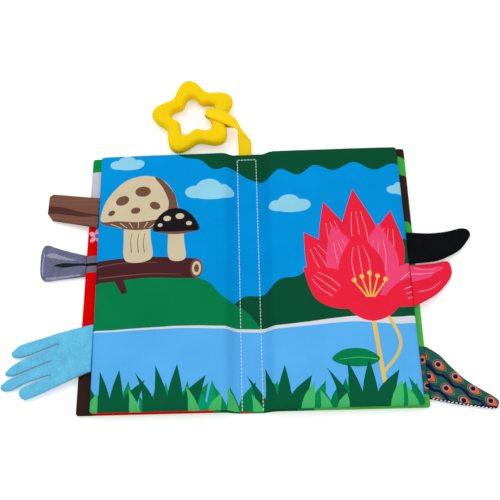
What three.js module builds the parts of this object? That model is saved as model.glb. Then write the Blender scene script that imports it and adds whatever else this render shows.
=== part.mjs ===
// Crinkle cloth book lying open at its middle spread, in millimetres.
// X runs across the open book, Y from its lower edge to its upper edge, Z up from the table.
// The origin is on the underside of the spine, half way up the book.
import * as THREE from 'three';

// Fabric, and how layers lie on each other
const fabricThickness = 0.3;
const layerGap = 0.1;
const stackGap = 0.3;
const fillClearance = 0.3;

// Spine: two double pages laid together and stitched through
const coverHeight = 235;
const pageTrim = 2;
const pageHeight = coverHeight - pageTrim;
const spineWidth = 18;
const spineToLeaf = 0.95;
const seamWidth = 2 * fabricThickness + layerGap;
const coverBandTop = seamWidth;
const pageBandBase = coverBandTop + layerGap;
const pageBandTop = pageBandBase + seamWidth;

// Stitching round the spine
const threadWidth = 0.8;
const threadHeight = 0.4;
const stitchInset = 0.8;
const crossStitchDrop = 4;

// Leaves: a padded pillow with a crinkle film, lower at the spine than in its middle
const coverReach = 131.4;
const leftPageTopStep = 8.8;
const leftPageBottomStep = 12.3;
const rightPageTopStep = 7.6;
const rightPageBottomStep = 4.9;
const leafThickness = 4.9;
const leafCornerRadius = 6;
const leafCornerStepCount = 3;
const slopeLength = 12;
const puffWidth = 8;
const slopeEndFactor = 1.5;
const ringSlopeShares = [0, 0.3, 0.65, 1];
const ringPuffShares = [0, 0.15, 0.45, 1];
const puffHeightShares = [0, 0.5, 0.85, 1];
const unfilledRingCount = 2;
const filmThickness = 0.15;
const leafX = spineWidth / 2 + spineToLeaf;

// Tails sewn into the outer seams: outline points are shares of the reach and of half the root
const tailThickness = 3.2;
const tailRingInsets = [0, 0.7, 1.7];
const tailHeightShares = [0, 0.62, 1];
const tailToLeaf = 0.65;
const tailAxisToLeaf = 0.45;
const tailTipInset = 3;
const tableClearance = 0.1;
const tailSpacing = 1.3;
const brownTailReach = 46.7;
const brownTailRoot = 29;
const blueTailReach = 73.8;
const blueTailRoot = 40;
const greyTailReach = 39;
const greyTailRoot = 20;
const blackTailReach = 54.7;
const blackTailRoot = 29;
const pinkTailReach = 35.1;
const pinkTailRoot = 36;
const peacockTailReach = 52.5;
const peacockTailRoot = 43;
const tails = [
  {
    name: 'brown_tail',
    leaf: 'leaf_2',
    color: 0x7a5244,
    reach: brownTailReach,
    rootWidth: brownTailRoot,
    heightShare: 0.2566,
    runShares: [[[0, 1], [0.91, 1.56]], [[0.99, 1.4], [1, 0.27]], [[0.88, -0.28], [0, -1]]],
  },
  {
    name: 'blue_tail',
    leaf: 'leaf_2',
    color: 0x58c3ec,
    reach: blueTailReach,
    rootWidth: blueTailRoot,
    heightShare: -0.2654,
    runShares: [
      [[0, 1], [0.22, 0.86], [0.4, 0.72], [0.58, 0.54], [0.8, 0.33], [0.88, 0.14], [0.92, -0.06], [0.88, -0.23],
        [0.8, -0.25], [0.72, -0.14]],
      [[0.36, 0.3], [0.38, 0.2]],
      [[0.72, -0.24], [0.88, -0.52], [0.95, -0.76], [0.97, -0.88], [0.95, -0.98], [0.87, -1], [0.81, -0.94]],
      [[0.43, -0.42], [0.44, -0.52]],
      [[0.86, -1.08], [0.93, -1.19], [1, -1.41], [1, -1.54], [0.97, -1.65], [0.91, -1.67], [0.83, -1.59], [0.74, -1.39]],
      [[0.42, -1], [0.43, -1.1]],
      [[0.7, -1.46], [0.76, -1.57], [0.78, -1.76], [0.76, -1.92], [0.71, -2.04], [0.65, -2.01], [0.43, -1.69],
        [0.15, -1.23], [0, -1]],
    ],
  },
  {
    name: 'grey_tail',
    leaf: 'leaf_1',
    color: 0x5f6380,
    reach: greyTailReach,
    rootWidth: greyTailRoot,
    heightShare: 0.0517,
    runShares: [[[0, 1], [0.9, 2.13], [0.97, 1.65], [1, -0.25], [0.96, -0.9], [0.84, -1.32], [0, -1]]],
  },
  {
    name: 'black_tail',
    leaf: 'leaf_3',
    color: 0x0c0d10,
    reach: blackTailReach,
    rootWidth: blackTailRoot,
    heightShare: 0.0743,
    runShares: [
      [[0, 1], [0.33, 0.98], [0.6, 1.1], [0.79, 1.27], [0.88, 1.33], [0.97, 1.22], [1, 0.9], [0.93, 0.47], [0.8, -0.08],
        [0.62, -0.49], [0.38, -0.84], [0, -1]],
    ],
  },
  {
    name: 'pink_tail',
    leaf: 'leaf_3',
    color: 0xf4284f,
    reach: pinkTailReach,
    rootWidth: pinkTailRoot,
    below: 'black_tail',
    runShares: [
      [[0, 1], [0.3, 1.02], [0.6, 1.1], [0.85, 1.26], [0.95, 1.22], [1, 0.9], [0.96, 0.5], [0.77, 0.01], [0.5, -0.46],
        [0, -1]],
    ],
  },
  {
    name: 'peacock_tail',
    leaf: 'leaf_4',
    color: 0x1f5f55,
    reach: peacockTailReach,
    rootWidth: peacockTailRoot,
    heightShare: -0.3779,
    runShares: [
      [[0, 1], [0.19, 0.67], [0.34, 0.25], [0.52, -0.21], [0.73, -0.6], [0.92, -0.91], [1, -1.1], [0.98, -1.31],
        [0.92, -1.4], [0.66, -1.31], [0.38, -1.21], [0, -1]],
    ],
  },
];

// Star teether: a rounded rim round a star-shaped hole
const starArms = 5;
const starTipRadius = 40.5;
const starValleyRadius = 28;
const starHoleTipRadius = 21.2;
const starHoleValleyRadius = 14;
const starThickness = 12;
const starLobePower = 2.1;
const starRoundingPower = 0.6;
const starStepCount = 50;
const starSectionStepCount = 10;
const starTurn = THREE.MathUtils.degToRad(-8.4);
const starX = -48.5;
const starToBook = 1.3;
const starPivotRadius = 21.5;

// Ribbon: one strip, from the spine, round the rim of the star and back
const ribbonThickness = 0.4;
const ribbonWidth = 12.5;
const ribbonLoopWidth = 9;
const ribbonRootX = -1.5;
const ribbonRootGap = 0.75;
const ribbonTurnX = -3;
const loopHalfHeight = 7.9;
const loopInnerReach = 11;
const loopOuterReach = 11;
const ribbonLeadStepCount = 6;
const loopShares = [
  [-0.8, -1], [0, -1], [0.55, -0.98], [0.87, -0.66], [1, 0], [0.87, 0.66], [0.55, 0.96], [0, 1], [-0.45, 0.93],
  [-0.8, 0.52],
];

const hingeClothColor = 0x0e5438;
const coverColor = 0x3fae3f;
const pageColor = 0x1a9be0;
const waddingColor = 0xf2f2ee;
const filmColor = 0xd8dde2;
const threadColor = 0xf4f4f0;
const starColor = 0xf9d202;
const ribbonColor = 0xf5c818;

function smooth(t) {
  return t * t * (3 - 2 * t);
}

function mesh(name, geometry, color, roughness = 0.85) {
  const result = new THREE.Mesh(geometry, new THREE.MeshStandardMaterial({ color, roughness, metalness: 0 }));
  result.name = name;
  return result;
}

function signedVolume(points, faces) {
  let sum = 0;
  const cross = new THREE.Vector3();
  for (const [a, b, c] of faces) sum += points[a].dot(cross.crossVectors(points[b], points[c]));
  return sum;
}

// Makes a geometry from points and triangles, with its faces pointing out
function closedGeometry(points, faces) {
  const flip = signedVolume(points, faces) < 0;
  const index = faces.flatMap(([a, b, c]) => (flip ? [a, c, b] : [a, b, c]));
  const geometry = new THREE.BufferGeometry();
  geometry.setAttribute('position', new THREE.Float32BufferAttribute(points.flatMap((p) => p.toArray()), 3));
  geometry.setIndex(index);
  geometry.computeVertexNormals();
  return geometry;
}

// Covers rings of points, from the outline inwards, and the middle
function skin(rings, first, turned, faces) {
  const count = rings[0].length;
  const add = (a, b, c) => faces.push(turned ? [a, c, b] : [a, b, c]);
  for (let ring = 0; ring + 1 < rings.length; ring += 1) {
    for (let i = 0; i < count; i += 1) {
      const j = (i + 1) % count;
      const outer = first + ring * count;
      const inner = outer + count;
      add(outer + i, outer + j, inner + j);
      add(outer + i, inner + j, inner + i);
    }
  }
  const last = rings[rings.length - 1];
  const flat = last.map((p) => new THREE.Vector2(p.x, p.y));
  const middle = first + (rings.length - 1) * count;
  const ringArea = THREE.ShapeUtils.area(flat);
  for (const [a, b, c] of THREE.ShapeUtils.triangulateShape([...flat], [])) {
    const sameTurn = THREE.ShapeUtils.area([flat[a], flat[b], flat[c]]) * ringArea > 0;
    if (sameTurn) add(middle + a, middle + b, middle + c);
    else add(middle + a, middle + c, middle + b);
  }
}

// A closed sheet or pad between an upper and a lower set of rings over one outline
function padBetween(upper, lower) {
  const count = upper[0].length;
  const points = [...upper.flat(), ...lower.flat()];
  const faces = [];
  const lowerFirst = upper.length * count;
  const counterClockwise = THREE.ShapeUtils.area(upper[0].map((p) => new THREE.Vector2(p.x, p.y))) > 0;
  skin(upper, 0, !counterClockwise, faces);
  skin(lower, lowerFirst, counterClockwise, faces);
  for (let i = 0; i < count; i += 1) {
    const j = (i + 1) % count;
    const quad = [[i, lowerFirst + i, lowerFirst + j], [i, lowerFirst + j, j]];
    for (const [a, b, c] of quad) faces.push(counterClockwise ? [a, b, c] : [a, c, b]);
  }
  return closedGeometry(points, faces);
}

function block(width, height, x, y, z, thickness) {
  return new THREE.BoxGeometry(width, height, thickness).translate(x, y, z + thickness / 2);
}

// Spine

function spineStitching() {
  const halfWidth = spineWidth / 2 - stitchInset + threadWidth / 2;
  const low = -pageHeight / 2;
  const high = pageHeight / 2 - crossStitchDrop;
  const outline = (inset) => [
    new THREE.Vector2(-halfWidth + inset, low + inset),
    new THREE.Vector2(halfWidth - inset, low + inset),
    new THREE.Vector2(halfWidth - inset, high - inset),
    new THREE.Vector2(-halfWidth + inset, high - inset),
  ];
  const shape = new THREE.Shape(outline(0));
  shape.holes.push(new THREE.Path(outline(threadWidth)));
  return new THREE.ExtrudeGeometry(shape, { depth: threadHeight, bevelEnabled: false }).translate(0, 0, pageBandTop);
}

function spine() {
  const group = new THREE.Group();
  const layers = [
    ['cover_fabric_spine', coverHeight, 0],
    ['cover_lining_spine', coverHeight, fabricThickness + layerGap],
    ['inner_back_fabric_spine', pageHeight, pageBandBase],
    ['inner_front_fabric_spine', pageHeight, pageBandBase + fabricThickness + layerGap],
  ];
  for (const [name, height, z] of layers) {
    group.add(mesh(name, block(spineWidth, height, 0, 0, z, fabricThickness), hingeClothColor));
  }
  group.add(mesh('spine_stitching', spineStitching(), threadColor));
  return group;
}

// Leaves

// The inner double page lies a little askew on the cover, so each leaf steps in by its own amounts
const leaves = {
  leaf_1: { side: -1, level: 0, topStep: 0, bottomStep: 0, height: coverHeight, back: 'front_cover', front: 'page_1' },
  leaf_2: {
    side: -1,
    level: 1,
    topStep: leftPageTopStep,
    bottomStep: leftPageBottomStep,
    height: pageHeight,
    back: 'page_2',
    front: 'page_3',
  },
  leaf_3: {
    side: 1,
    level: 1,
    topStep: rightPageTopStep,
    bottomStep: rightPageBottomStep,
    height: pageHeight,
    back: 'page_5',
    front: 'page_4',
  },
  leaf_4: { side: 1, level: 0, topStep: 0, bottomStep: 0, height: coverHeight, back: 'back_cover', front: 'page_6' },
};

function leafReach(leaf, y) {
  return coverReach - THREE.MathUtils.lerp(leaf.bottomStep, leaf.topStep, y / leaf.height + 0.5);
}

function leafBase(leaf) {
  return leaf.level * (leafThickness + stackGap);
}

function seamHeight(leaf) {
  return leafBase(leaf) + leafThickness / 2;
}

// The four surfaces of a leaf: heights at the spine, at the sewn edge and in the puffed middle
function leafSurfaces(leaf) {
  const band = leaf.level * pageBandBase;
  const base = leafBase(leaf);
  const seam = seamHeight(leaf);
  const backOuter = { band, seam: seam - layerGap / 2 - fabricThickness, middle: base };
  const frontOuter = {
    band: band + seamWidth,
    seam: seam + layerGap / 2 + fabricThickness,
    middle: base + leafThickness,
  };
  const raise = (surface, height) => ({
    band: surface.band + height,
    seam: surface.seam + height,
    middle: surface.middle + height,
  });
  return {
    backOuter,
    backInner: raise(backOuter, fabricThickness),
    frontInner: raise(frontOuter, -fabricThickness),
    frontOuter,
    raise,
  };
}

// One ring of a leaf, each point with its distance from the spine and its share of the puff
function leafRing(leaf, ring) {
  const inset = ringPuffShares[ring] * puffWidth;
  const nearX = ringSlopeShares[ring] * slopeLength;
  const edgeY = leaf.height / 2 - inset;
  const flatY = leaf.height / 2 - puffWidth - slopeLength * (ring + 1) / ringPuffShares.length;
  const radius = Math.max(leafCornerRadius - inset, leafCornerRadius / 3);
  const slopeEnd = slopeLength * slopeEndFactor;
  const puff = puffHeightShares[ring];
  const half = [{ x: nearX, y: flatY, puff: 1 }];
  for (const share of ringSlopeShares) half.push({ x: nearX + (slopeEnd - nearX) * share, y: edgeY, puff });
  for (let step = 0; step <= leafCornerStepCount; step += 1) {
    const angle = (Math.PI / 2) * (step / leafCornerStepCount);
    const fromEdge = inset + radius - radius * Math.sin(angle);
    half.push({ fromEdge, y: edgeY - radius + radius * Math.cos(angle), puff });
  }
  const whole = [...half, ...half.map((p) => ({ ...p, y: -p.y })).reverse()];
  return whole.map(({ x, y, fromEdge, puff: share }) => ({ x: x ?? leafReach(leaf, y) - fromEdge, y, puff: share }));
}

function leafRings(leaf, surface, firstRing = 0) {
  const rings = [];
  for (let ring = firstRing; ring < ringPuffShares.length; ring += 1) {
    rings.push(leafRing(leaf, ring).map(({ x, y, puff }) => {
      const rise = smooth(Math.min(x / slopeLength, 1));
      const seam = THREE.MathUtils.lerp(surface.band, surface.seam, rise);
      const middle = THREE.MathUtils.lerp(surface.band, surface.middle, rise);
      return new THREE.Vector3(leaf.side * (leafX + x), y, THREE.MathUtils.lerp(seam, middle, puff));
    }));
  }
  return rings;
}

function leafGroup(name, leaf) {
  const group = new THREE.Group();
  const { backOuter, backInner, frontInner, frontOuter, raise } = leafSurfaces(leaf);
  const back = padBetween(leafRings(leaf, backInner), leafRings(leaf, backOuter));
  const front = padBetween(leafRings(leaf, frontOuter), leafRings(leaf, frontInner));
  const color = leaf.level ? pageColor : coverColor;
  group.add(mesh(`${leaf.back}_fabric`, back, color));
  group.add(mesh(`${leaf.front}_fabric`, front, color));
  const filmTop = raise(frontInner, -fillClearance);
  const filmBottom = raise(filmTop, -filmThickness);
  const waddingTop = raise(filmBottom, -fillClearance);
  const waddingBottom = raise(backInner, fillClearance);
  const fill = (top, bottom) => padBetween(leafRings(leaf, top, unfilledRingCount), leafRings(leaf, bottom, unfilledRingCount));
  group.add(mesh(`${name}_wadding`, fill(waddingTop, waddingBottom), waddingColor, 1));
  group.add(mesh(`${name}_crinkle_film`, fill(filmTop, filmBottom), filmColor, 0.3));
  return group;
}

// Tails

function tailOutline(tail) {
  const corners = [];
  for (const run of tail.runShares) {
    const places = run.map(([along, across]) => new THREE.Vector2(tail.reach * along, (tail.rootWidth / 2) * across));
    const steps = run.length > 2 ? Math.round(run.length * 1.5) : 1;
    corners.push(...new THREE.SplineCurve(places).getPoints(steps));
  }
  return corners;
}

// Moves every point of an outline inwards, along the mean of its two edges' normals
function insetOutline(outline, distance) {
  const inward = THREE.ShapeUtils.area(outline) > 0 ? 1 : -1;
  return outline.map((point, i) => {
    const before = outline[(i + outline.length - 1) % outline.length];
    const after = outline[(i + 1) % outline.length];
    const first = point.clone().sub(before).normalize();
    const second = after.clone().sub(point).normalize();
    const normal = new THREE.Vector2(-first.y - second.y, first.x + second.x).normalize();
    const straightness = Math.max(Math.sqrt((1 + first.dot(second)) / 2), 0.75);
    return point.clone().addScaledVector(normal, (inward * distance) / straightness);
  });
}

function tailRings(tail, heightAtEdge, heightInMiddle, firstRing = 0) {
  const side = leaves[tail.leaf].side;
  const outline = tailOutline(tail);
  const rings = [];
  for (let ring = firstRing; ring < tailRingInsets.length; ring += 1) {
    const z = THREE.MathUtils.lerp(heightAtEdge, heightInMiddle, tailHeightShares[ring]);
    const inner = tailRingInsets[ring] ? insetOutline(outline, tailRingInsets[ring]) : outline;
    rings.push(inner.map((p) => new THREE.Vector3(side * (p.x + tailToLeaf - tailAxisToLeaf), p.y, z)));
  }
  return rings;
}

// How far up the book a tail's root is: a share of the height, or next below another tail
function rootHeight(tail) {
  if (!tail.below) return coverHeight * tail.heightShare;
  const upper = tails.find((other) => other.name === tail.below);
  return rootHeight(upper) - upper.rootWidth / 2 - tailSpacing - tail.rootWidth / 2;
}

// How far from the spine a tail's straight root is, clear of its page's askew edge
function rootReach(tail) {
  const ends = [-1, 1].map((end) => rootHeight(tail) + (end * tail.rootWidth) / 2);
  return Math.max(...ends.map((y) => leafReach(leaves[tail.leaf], y)));
}

// A tail droops from its seam until its tip lies on the table, or it lies on the cover's leaf below
function tailDroop(tail) {
  const leaf = leaves[tail.leaf];
  const drop = seamHeight(leaf) - tailThickness / 2 - tableClearance;
  const toTable = Math.asin(drop / (tail.reach - tailTipInset));
  const coverShows = coverReach - rootReach(tail) - puffWidth;
  if (coverShows <= 0) return toTable;
  const toCover = Math.atan((drop - leafThickness) / coverShows);
  return Math.min(toTable, toCover);
}

function tailGroup(tail) {
  const leaf = leaves[tail.leaf];
  const group = new THREE.Group();
  const edge = layerGap / 2;
  const outerEdge = edge + fabricThickness;
  const middle = tailThickness / 2;
  const innerMiddle = middle - fabricThickness;
  const fillMiddle = innerMiddle - fillClearance;
  const front = padBetween(tailRings(tail, outerEdge, middle), tailRings(tail, edge, innerMiddle));
  const back = padBetween(tailRings(tail, -edge, -innerMiddle), tailRings(tail, -outerEdge, -middle));
  const last = tailRingInsets.length - 1;
  const pad = padBetween(tailRings(tail, 0, fillMiddle, last), tailRings(tail, 0, -fillMiddle, last));
  group.add(mesh(`${tail.name}_front_fabric`, front, tail.color));
  group.add(mesh(`${tail.name}_back_fabric`, back, tail.color));
  group.add(mesh(`${tail.name}_wadding`, pad, waddingColor, 1));
  const up = rootHeight(tail);
  group.position.set(leaf.side * (leafX + rootReach(tail) + tailAxisToLeaf), up, seamHeight(leaf));
  group.rotation.y = leaf.side * tailDroop(tail);
  return group;
}

// Star teether

const bookTop = Math.max(coverHeight, pageHeight) / 2;
const starTipAngles = [...Array(starArms).keys()].map((k) => starTurn + (2 * Math.PI * (k + 0.5)) / starArms);
const starLowestReach = starTipRadius * Math.max(...starTipAngles.map((angle) => -Math.sin(angle)));
const starY = bookTop + starToBook + starLowestReach;
const loopBottom = tableClearance / 2 + ribbonThickness;
const starPivotZ = loopBottom + loopHalfHeight;
const starTiltReach = starTipRadius + starPivotRadius - starThickness / 2;
const starTilt = Math.asin((starPivotZ - starThickness / 2 - tableClearance / 2) / starTiltReach);

function starOutlineRadius(angle, valleyRadius, tipRadius) {
  const lobe = Math.abs(Math.sin((angle * starArms) / 2)) ** starLobePower;
  return THREE.MathUtils.lerp(valleyRadius, tipRadius, lobe);
}

// Built round the pivot in its loop, with the valley that the ribbon crosses on +X
function starTeether() {
  const points = [];
  const faces = [];
  for (let i = 0; i < starStepCount; i += 1) {
    const angle = (2 * Math.PI * i) / starStepCount;
    const inner = starOutlineRadius(angle, starHoleValleyRadius, starHoleTipRadius);
    const outer = starOutlineRadius(angle, starValleyRadius, starTipRadius);
    for (let k = 0; k < starSectionStepCount; k += 1) {
      const turn = (2 * Math.PI * k) / starSectionStepCount;
      const across = Math.sign(Math.cos(turn)) * Math.abs(Math.cos(turn)) ** starRoundingPower;
      const up = Math.sign(Math.sin(turn)) * Math.abs(Math.sin(turn)) ** starRoundingPower;
      const radius = (inner + outer) / 2 + ((outer - inner) / 2) * across;
      const x = radius * Math.cos(angle) - starPivotRadius;
      points.push(new THREE.Vector3(x, radius * Math.sin(angle), (starThickness / 2) * up));
    }
  }
  for (let i = 0; i < starStepCount; i += 1) {
    const next = (i + 1) % starStepCount;
    for (let k = 0; k < starSectionStepCount; k += 1) {
      const turned = (k + 1) % starSectionStepCount;
      const a = i * starSectionStepCount + k;
      const b = next * starSectionStepCount + k;
      const c = next * starSectionStepCount + turned;
      const d = i * starSectionStepCount + turned;
      faces.push([a, b, c], [a, c, d]);
    }
  }
  const result = mesh('star_teether', closedGeometry(points, faces), starColor, 0.5);
  result.rotation.y = -starTilt;
  const group = new THREE.Group();
  group.add(result);
  group.rotation.z = starTurn;
  group.position.copy(starPivot());
  return group;
}

function starPivot() {
  const x = starX + starPivotRadius * Math.cos(starTurn);
  return new THREE.Vector3(x, starY + starPivotRadius * Math.sin(starTurn), starPivotZ);
}

// Ribbon

// Plan of the strip's centre between its root at the spine and the outer side of the loop
function ribbonLead() {
  const pivot = starPivot();
  const heading = new THREE.Vector3(Math.cos(starTurn), Math.sin(starTurn), 0);
  const end = pivot.clone().addScaledVector(heading, loopOuterReach).setZ(0);
  const root = new THREE.Vector3(ribbonRootX, bookTop + ribbonRootGap, 0);
  const corner = new THREE.Vector3(ribbonTurnX, end.y, 0);
  return new THREE.QuadraticBezierCurve3(root, corner, end);
}

function ribbonStations() {
  const lead = ribbonLead();
  const pivot = starPivot();
  const heading = new THREE.Vector3(-Math.cos(starTurn), -Math.sin(starTurn), 0);
  const along = new THREE.Vector3(-Math.sin(starTurn), Math.cos(starTurn), 0);
  const lowZ = (tableClearance + ribbonThickness) / 2;
  const reachHigh = loopHalfHeight + ribbonThickness / 2;
  const rootLow = ribbonThickness;
  const rootHigh = rootLow + ribbonThickness + layerGap + fabricThickness;
  const stations = [];
  const leadStation = (t, z) => {
    const center = lead.getPoint(t).setZ(z);
    const direction = lead.getTangent(t);
    const across = new THREE.Vector3(direction.y, -direction.x, 0).normalize();
    return { center, across, width: THREE.MathUtils.lerp(ribbonWidth, ribbonLoopWidth, t) };
  };
  for (let i = 0; i < ribbonLeadStepCount; i += 1) {
    const t = i / ribbonLeadStepCount;
    stations.push(leadStation(t, THREE.MathUtils.lerp(rootLow, lowZ, smooth(t))));
  }
  for (const [reachShare, heightShare] of loopShares) {
    const reach = reachShare > 0 ? loopInnerReach : loopOuterReach;
    const center = pivot.clone().addScaledVector(heading, reach * reachShare);
    center.z = pivot.z + reachHigh * heightShare;
    stations.push({ center, across: along.clone(), width: ribbonLoopWidth });
  }
  for (let i = ribbonLeadStepCount; i >= 0; i -= 1) {
    const t = i / ribbonLeadStepCount;
    stations.push(leadStation(t, THREE.MathUtils.lerp(rootHigh, pivot.z, t * t)));
  }
  return stations;
}

function ribbonLoop() {
  const stations = ribbonStations();
  const points = [];
  const faces = [];
  stations.forEach(({ center, across, width }, i) => {
    const before = stations[Math.max(i - 1, 0)].center;
    const after = stations[Math.min(i + 1, stations.length - 1)].center;
    const direction = after.clone().sub(before).normalize();
    const normal = new THREE.Vector3().crossVectors(across, direction).normalize();
    const corners = [[1, 1], [-1, 1], [-1, -1], [1, -1]];
    for (const [sideways, upwards] of corners) {
      const corner = center.clone().addScaledVector(across, (sideways * width) / 2);
      points.push(corner.addScaledVector(normal, (upwards * ribbonThickness) / 2));
    }
  });
  const cornerCount = 4;
  for (let i = 0; i + 1 < stations.length; i += 1) {
    for (let k = 0; k < cornerCount; k += 1) {
      const a = i * cornerCount + k;
      const b = i * cornerCount + ((k + 1) % cornerCount);
      faces.push([a, b, b + cornerCount], [a, b + cornerCount, a + cornerCount]);
    }
  }
  const last = (stations.length - 1) * cornerCount;
  faces.push([2, 1, 0], [3, 2, 0], [last, last + 1, last + 2], [last, last + 2, last + 3]);
  return mesh('ribbon_loop', closedGeometry(points, faces), ribbonColor, 0.4);
}

const book = new THREE.Group();
book.add(spine());
for (const [name, leaf] of Object.entries(leaves)) book.add(leafGroup(name, leaf));
for (const tail of tails) book.add(tailGroup(tail));
book.add(ribbonLoop());
book.add(starTeether());

export default book;
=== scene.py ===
import math
import random

import bpy
import numpy as np
from bpy.props import FloatProperty, FloatVectorProperty, IntProperty, PointerProperty
from bpy.types import Operator, Panel, PropertyGroup
from mathutils import Matrix, Vector, noise
from mathutils.geometry import delaunay_2d_cdt


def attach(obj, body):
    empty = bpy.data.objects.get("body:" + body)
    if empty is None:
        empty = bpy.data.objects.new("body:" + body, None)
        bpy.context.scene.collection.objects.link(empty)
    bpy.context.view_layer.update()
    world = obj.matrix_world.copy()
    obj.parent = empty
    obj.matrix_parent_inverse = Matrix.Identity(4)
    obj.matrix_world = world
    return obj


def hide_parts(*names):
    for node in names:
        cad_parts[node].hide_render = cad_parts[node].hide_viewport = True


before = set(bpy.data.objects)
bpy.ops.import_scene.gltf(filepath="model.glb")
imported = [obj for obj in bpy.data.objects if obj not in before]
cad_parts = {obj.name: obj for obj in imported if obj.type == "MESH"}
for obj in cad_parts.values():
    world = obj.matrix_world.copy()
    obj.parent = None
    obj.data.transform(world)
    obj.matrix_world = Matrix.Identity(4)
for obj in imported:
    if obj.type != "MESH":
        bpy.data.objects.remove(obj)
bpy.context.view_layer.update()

bl_info = {
    "name": "Crinkle cloth book",
    "version": (1, 0, 0),
    "blender": (4, 5, 0),
    "location": "3D View > Sidebar > Cloth Book",
    "description": "Builds the padded leaves, tails, ribbon and teether of a soft cloth book",
    "category": "Add Mesh",
}

MM = 0.001

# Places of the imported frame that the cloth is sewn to, in millimetres
FOLD_X = 9.9
LEAF_X = 9.95
# Where the leaf's cloth begins, tucked into the spine's
FOLD_SIDE = 9.1
# From the fold to the outer edge, at the foot and at the head
LEAF_REACH = {
    "leaf_1": (131.4, 131.4),
    "leaf_2": (119.1, 122.6),
    "leaf_3": (126.5, 123.8),
    "leaf_4": (131.4, 131.4),
}
LEAF_CORNER = 2.4
COVER_HEIGHT = 235.0
PAGE_HEIGHT = 233.0
# Half a full leaf's thickness, and from one leaf's middle to the next one's
LEAF_HALF = 2.45
LEAF_PITCH = 5.2
# The same at the fold, where the leaves are stitched flat
BAND_HALF = 0.35
BAND_PITCH = 0.8
SLOPE_LENGTH = 12.0
STITCH_X = 8.4
STITCH_TOP = 111.4
STITCH_BOTTOM = -116.1
# The stitched rectangle leans to the left at the head by this much each way
STITCH_LEAN = 0.95
STITCH_RISE = 0.6
# The heights of the spine's cloths, and how far they are rounded from their edge
COVER_TOP = 0.7
INNER_BOTTOM = 0.8
INNER_TOP = 1.5
SLAB_EDGE = 0.35
# The middles of the upper and the lower stitches
STITCH_HEIGHTS = (INNER_TOP + 0.12, 0.16)
RIBBON_LAYER = 0.35

# The flat bag that a piece is swollen with: half the gap between its sides, in metres, and its frames
BAG_HALF_GAP = 0.0004
BAG_FRAMES = 20
# How far from its seam a swollen piece is rounded
SEAM_ROUND = 1.2

WORLD_LIGHT = 0.72
PAPER_LIFT = 0.3

# Inks and cloths, as sRGB
INKS = {
    "sky": "#0094DF",
    "water": "#5AB4F5",
    "canopy": "#0A5034",
    "hill": "#067E4A",
    "cloud": "#90D3EA",
    "bank": "#DCDEE6",
    "cream": "#D3C5A5",
    "brown": "#75503F",
    "bark": "#4A2529",
    "black": "#1B1A20",
    "white": "#F1F1F1",
    "red": "#EF2340",
    "pink": "#F44878",
    "rose": "#FF8FA8",
    "petal": "#F2A3BE",
    "yellow": "#E9C45C",
    "grass_dark": "#085D3C",
    "grass_mid": "#0A8B50",
    "grass_light": "#46BB68",
    "grass_teal": "#0A9B6C",
    "cover": "#3FAE3F",
    "lining_green": "#0A8F3C",
    "lining_grey": "#C9C9D1",
    "lining_lime": "#4CB548",
    "lining_red": "#DF0000",
    "lining_bark": "#33211D",
    "band_grey": "#6E6C80",
    "brown_tail": "#7A5244",
    "brown_wedge": "#55322C",
    "brown_line": "#8A6154",
    "fleece": "#62C0E6",
    "plush_grey": "#686C88",
    "plush_lilac": "#9A98B4",
    "plush_quill": "#23242F",
    "plush_black": "#0C0D10",
    "teal": "#1F5F55",
    "teal_dark": "#143F4A",
    "navy": "#1B1340",
    "orange": "#E8653C",
    "gold": "#8A7A3E",
    "eye_pale": "#D98C74",
    "eye_blue": "#5B6E8C",
}


def linear(colour):
    """Turns an sRGB hex colour to linear red, green, blue and alpha."""
    values = [int(colour[i : i + 2], 16) / 255 for i in (1, 3, 5)]
    return [v / 12.92 if v <= 0.04045 else ((v + 0.055) / 1.055) ** 2.4 for v in values] + [1.0]


def look():
    return bpy.context.scene.cloth_book


# Outlines, in millimetres


def between(a, b, c, d, t):
    """A place from b to c on the smooth line through four values."""
    return 0.5 * (2 * b + (c - a) * t + (2 * a - 5 * b + 4 * c - d) * t * t + (3 * b - a - 3 * c + d) * t**3)


def neighbours(points, i, closed):
    """The four points round the stretch after point i."""
    last = len(points) - 1
    places = [(i + k) % len(points) if closed else min(max(i + k, 0), last) for k in (-1, 0, 1, 2)]
    return [points[k] for k in places]


def spline(points, closed=True, step=2.5):
    """A smooth line through points, closed or open."""
    curve = []
    for i in range(len(points) if closed else len(points) - 1):
        four = neighbours(points, i, closed)
        parts = max(1, math.ceil(math.dist(four[1], four[2]) / step))
        curve += [tuple(between(*values, part / parts) for values in zip(*four)) for part in range(parts)]
    return curve if closed else curve + [tuple(points[-1])]


def placed(points, x, y, turn, scale=1.0):
    """Points turned by an angle in degrees, scaled, and moved to a place."""
    c, s = math.cos(math.radians(turn)), math.sin(math.radians(turn))
    return [(x + scale * (c * a - s * b), y + scale * (s * a + c * b)) for a, b in points]


def ellipse(x, y, across, up=None, turn=0.0):
    up = across if up is None else up
    count = max(12, int(2.2 * max(across, up)) // 2 * 2)
    angles = [2 * math.pi * k / count for k in range(count)]
    return placed([(across * math.cos(a), up * math.sin(a)) for a in angles], x, y, turn)


def rectangle(left, bottom, right, top):
    return [(left, bottom), (right, bottom), (right, top), (left, top)]


def stroke(points, width, end_width):
    """A line that tapers from one width to another."""
    curve = spline(points, False)
    last = len(curve) - 1
    left, right = [], []
    for i, (x, y) in enumerate(curve):
        before, after = curve[max(i - 1, 0)], curve[min(i + 1, last)]
        dx, dy = after[0] - before[0], after[1] - before[1]
        length = math.hypot(dx, dy) or 1.0
        half = (width + (end_width - width) * i / last) / 2
        left.append((x - dy / length * half, y + dx / length * half))
        right.append((x + dy / length * half, y - dx / length * half))
    return left + right[::-1]


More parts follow.
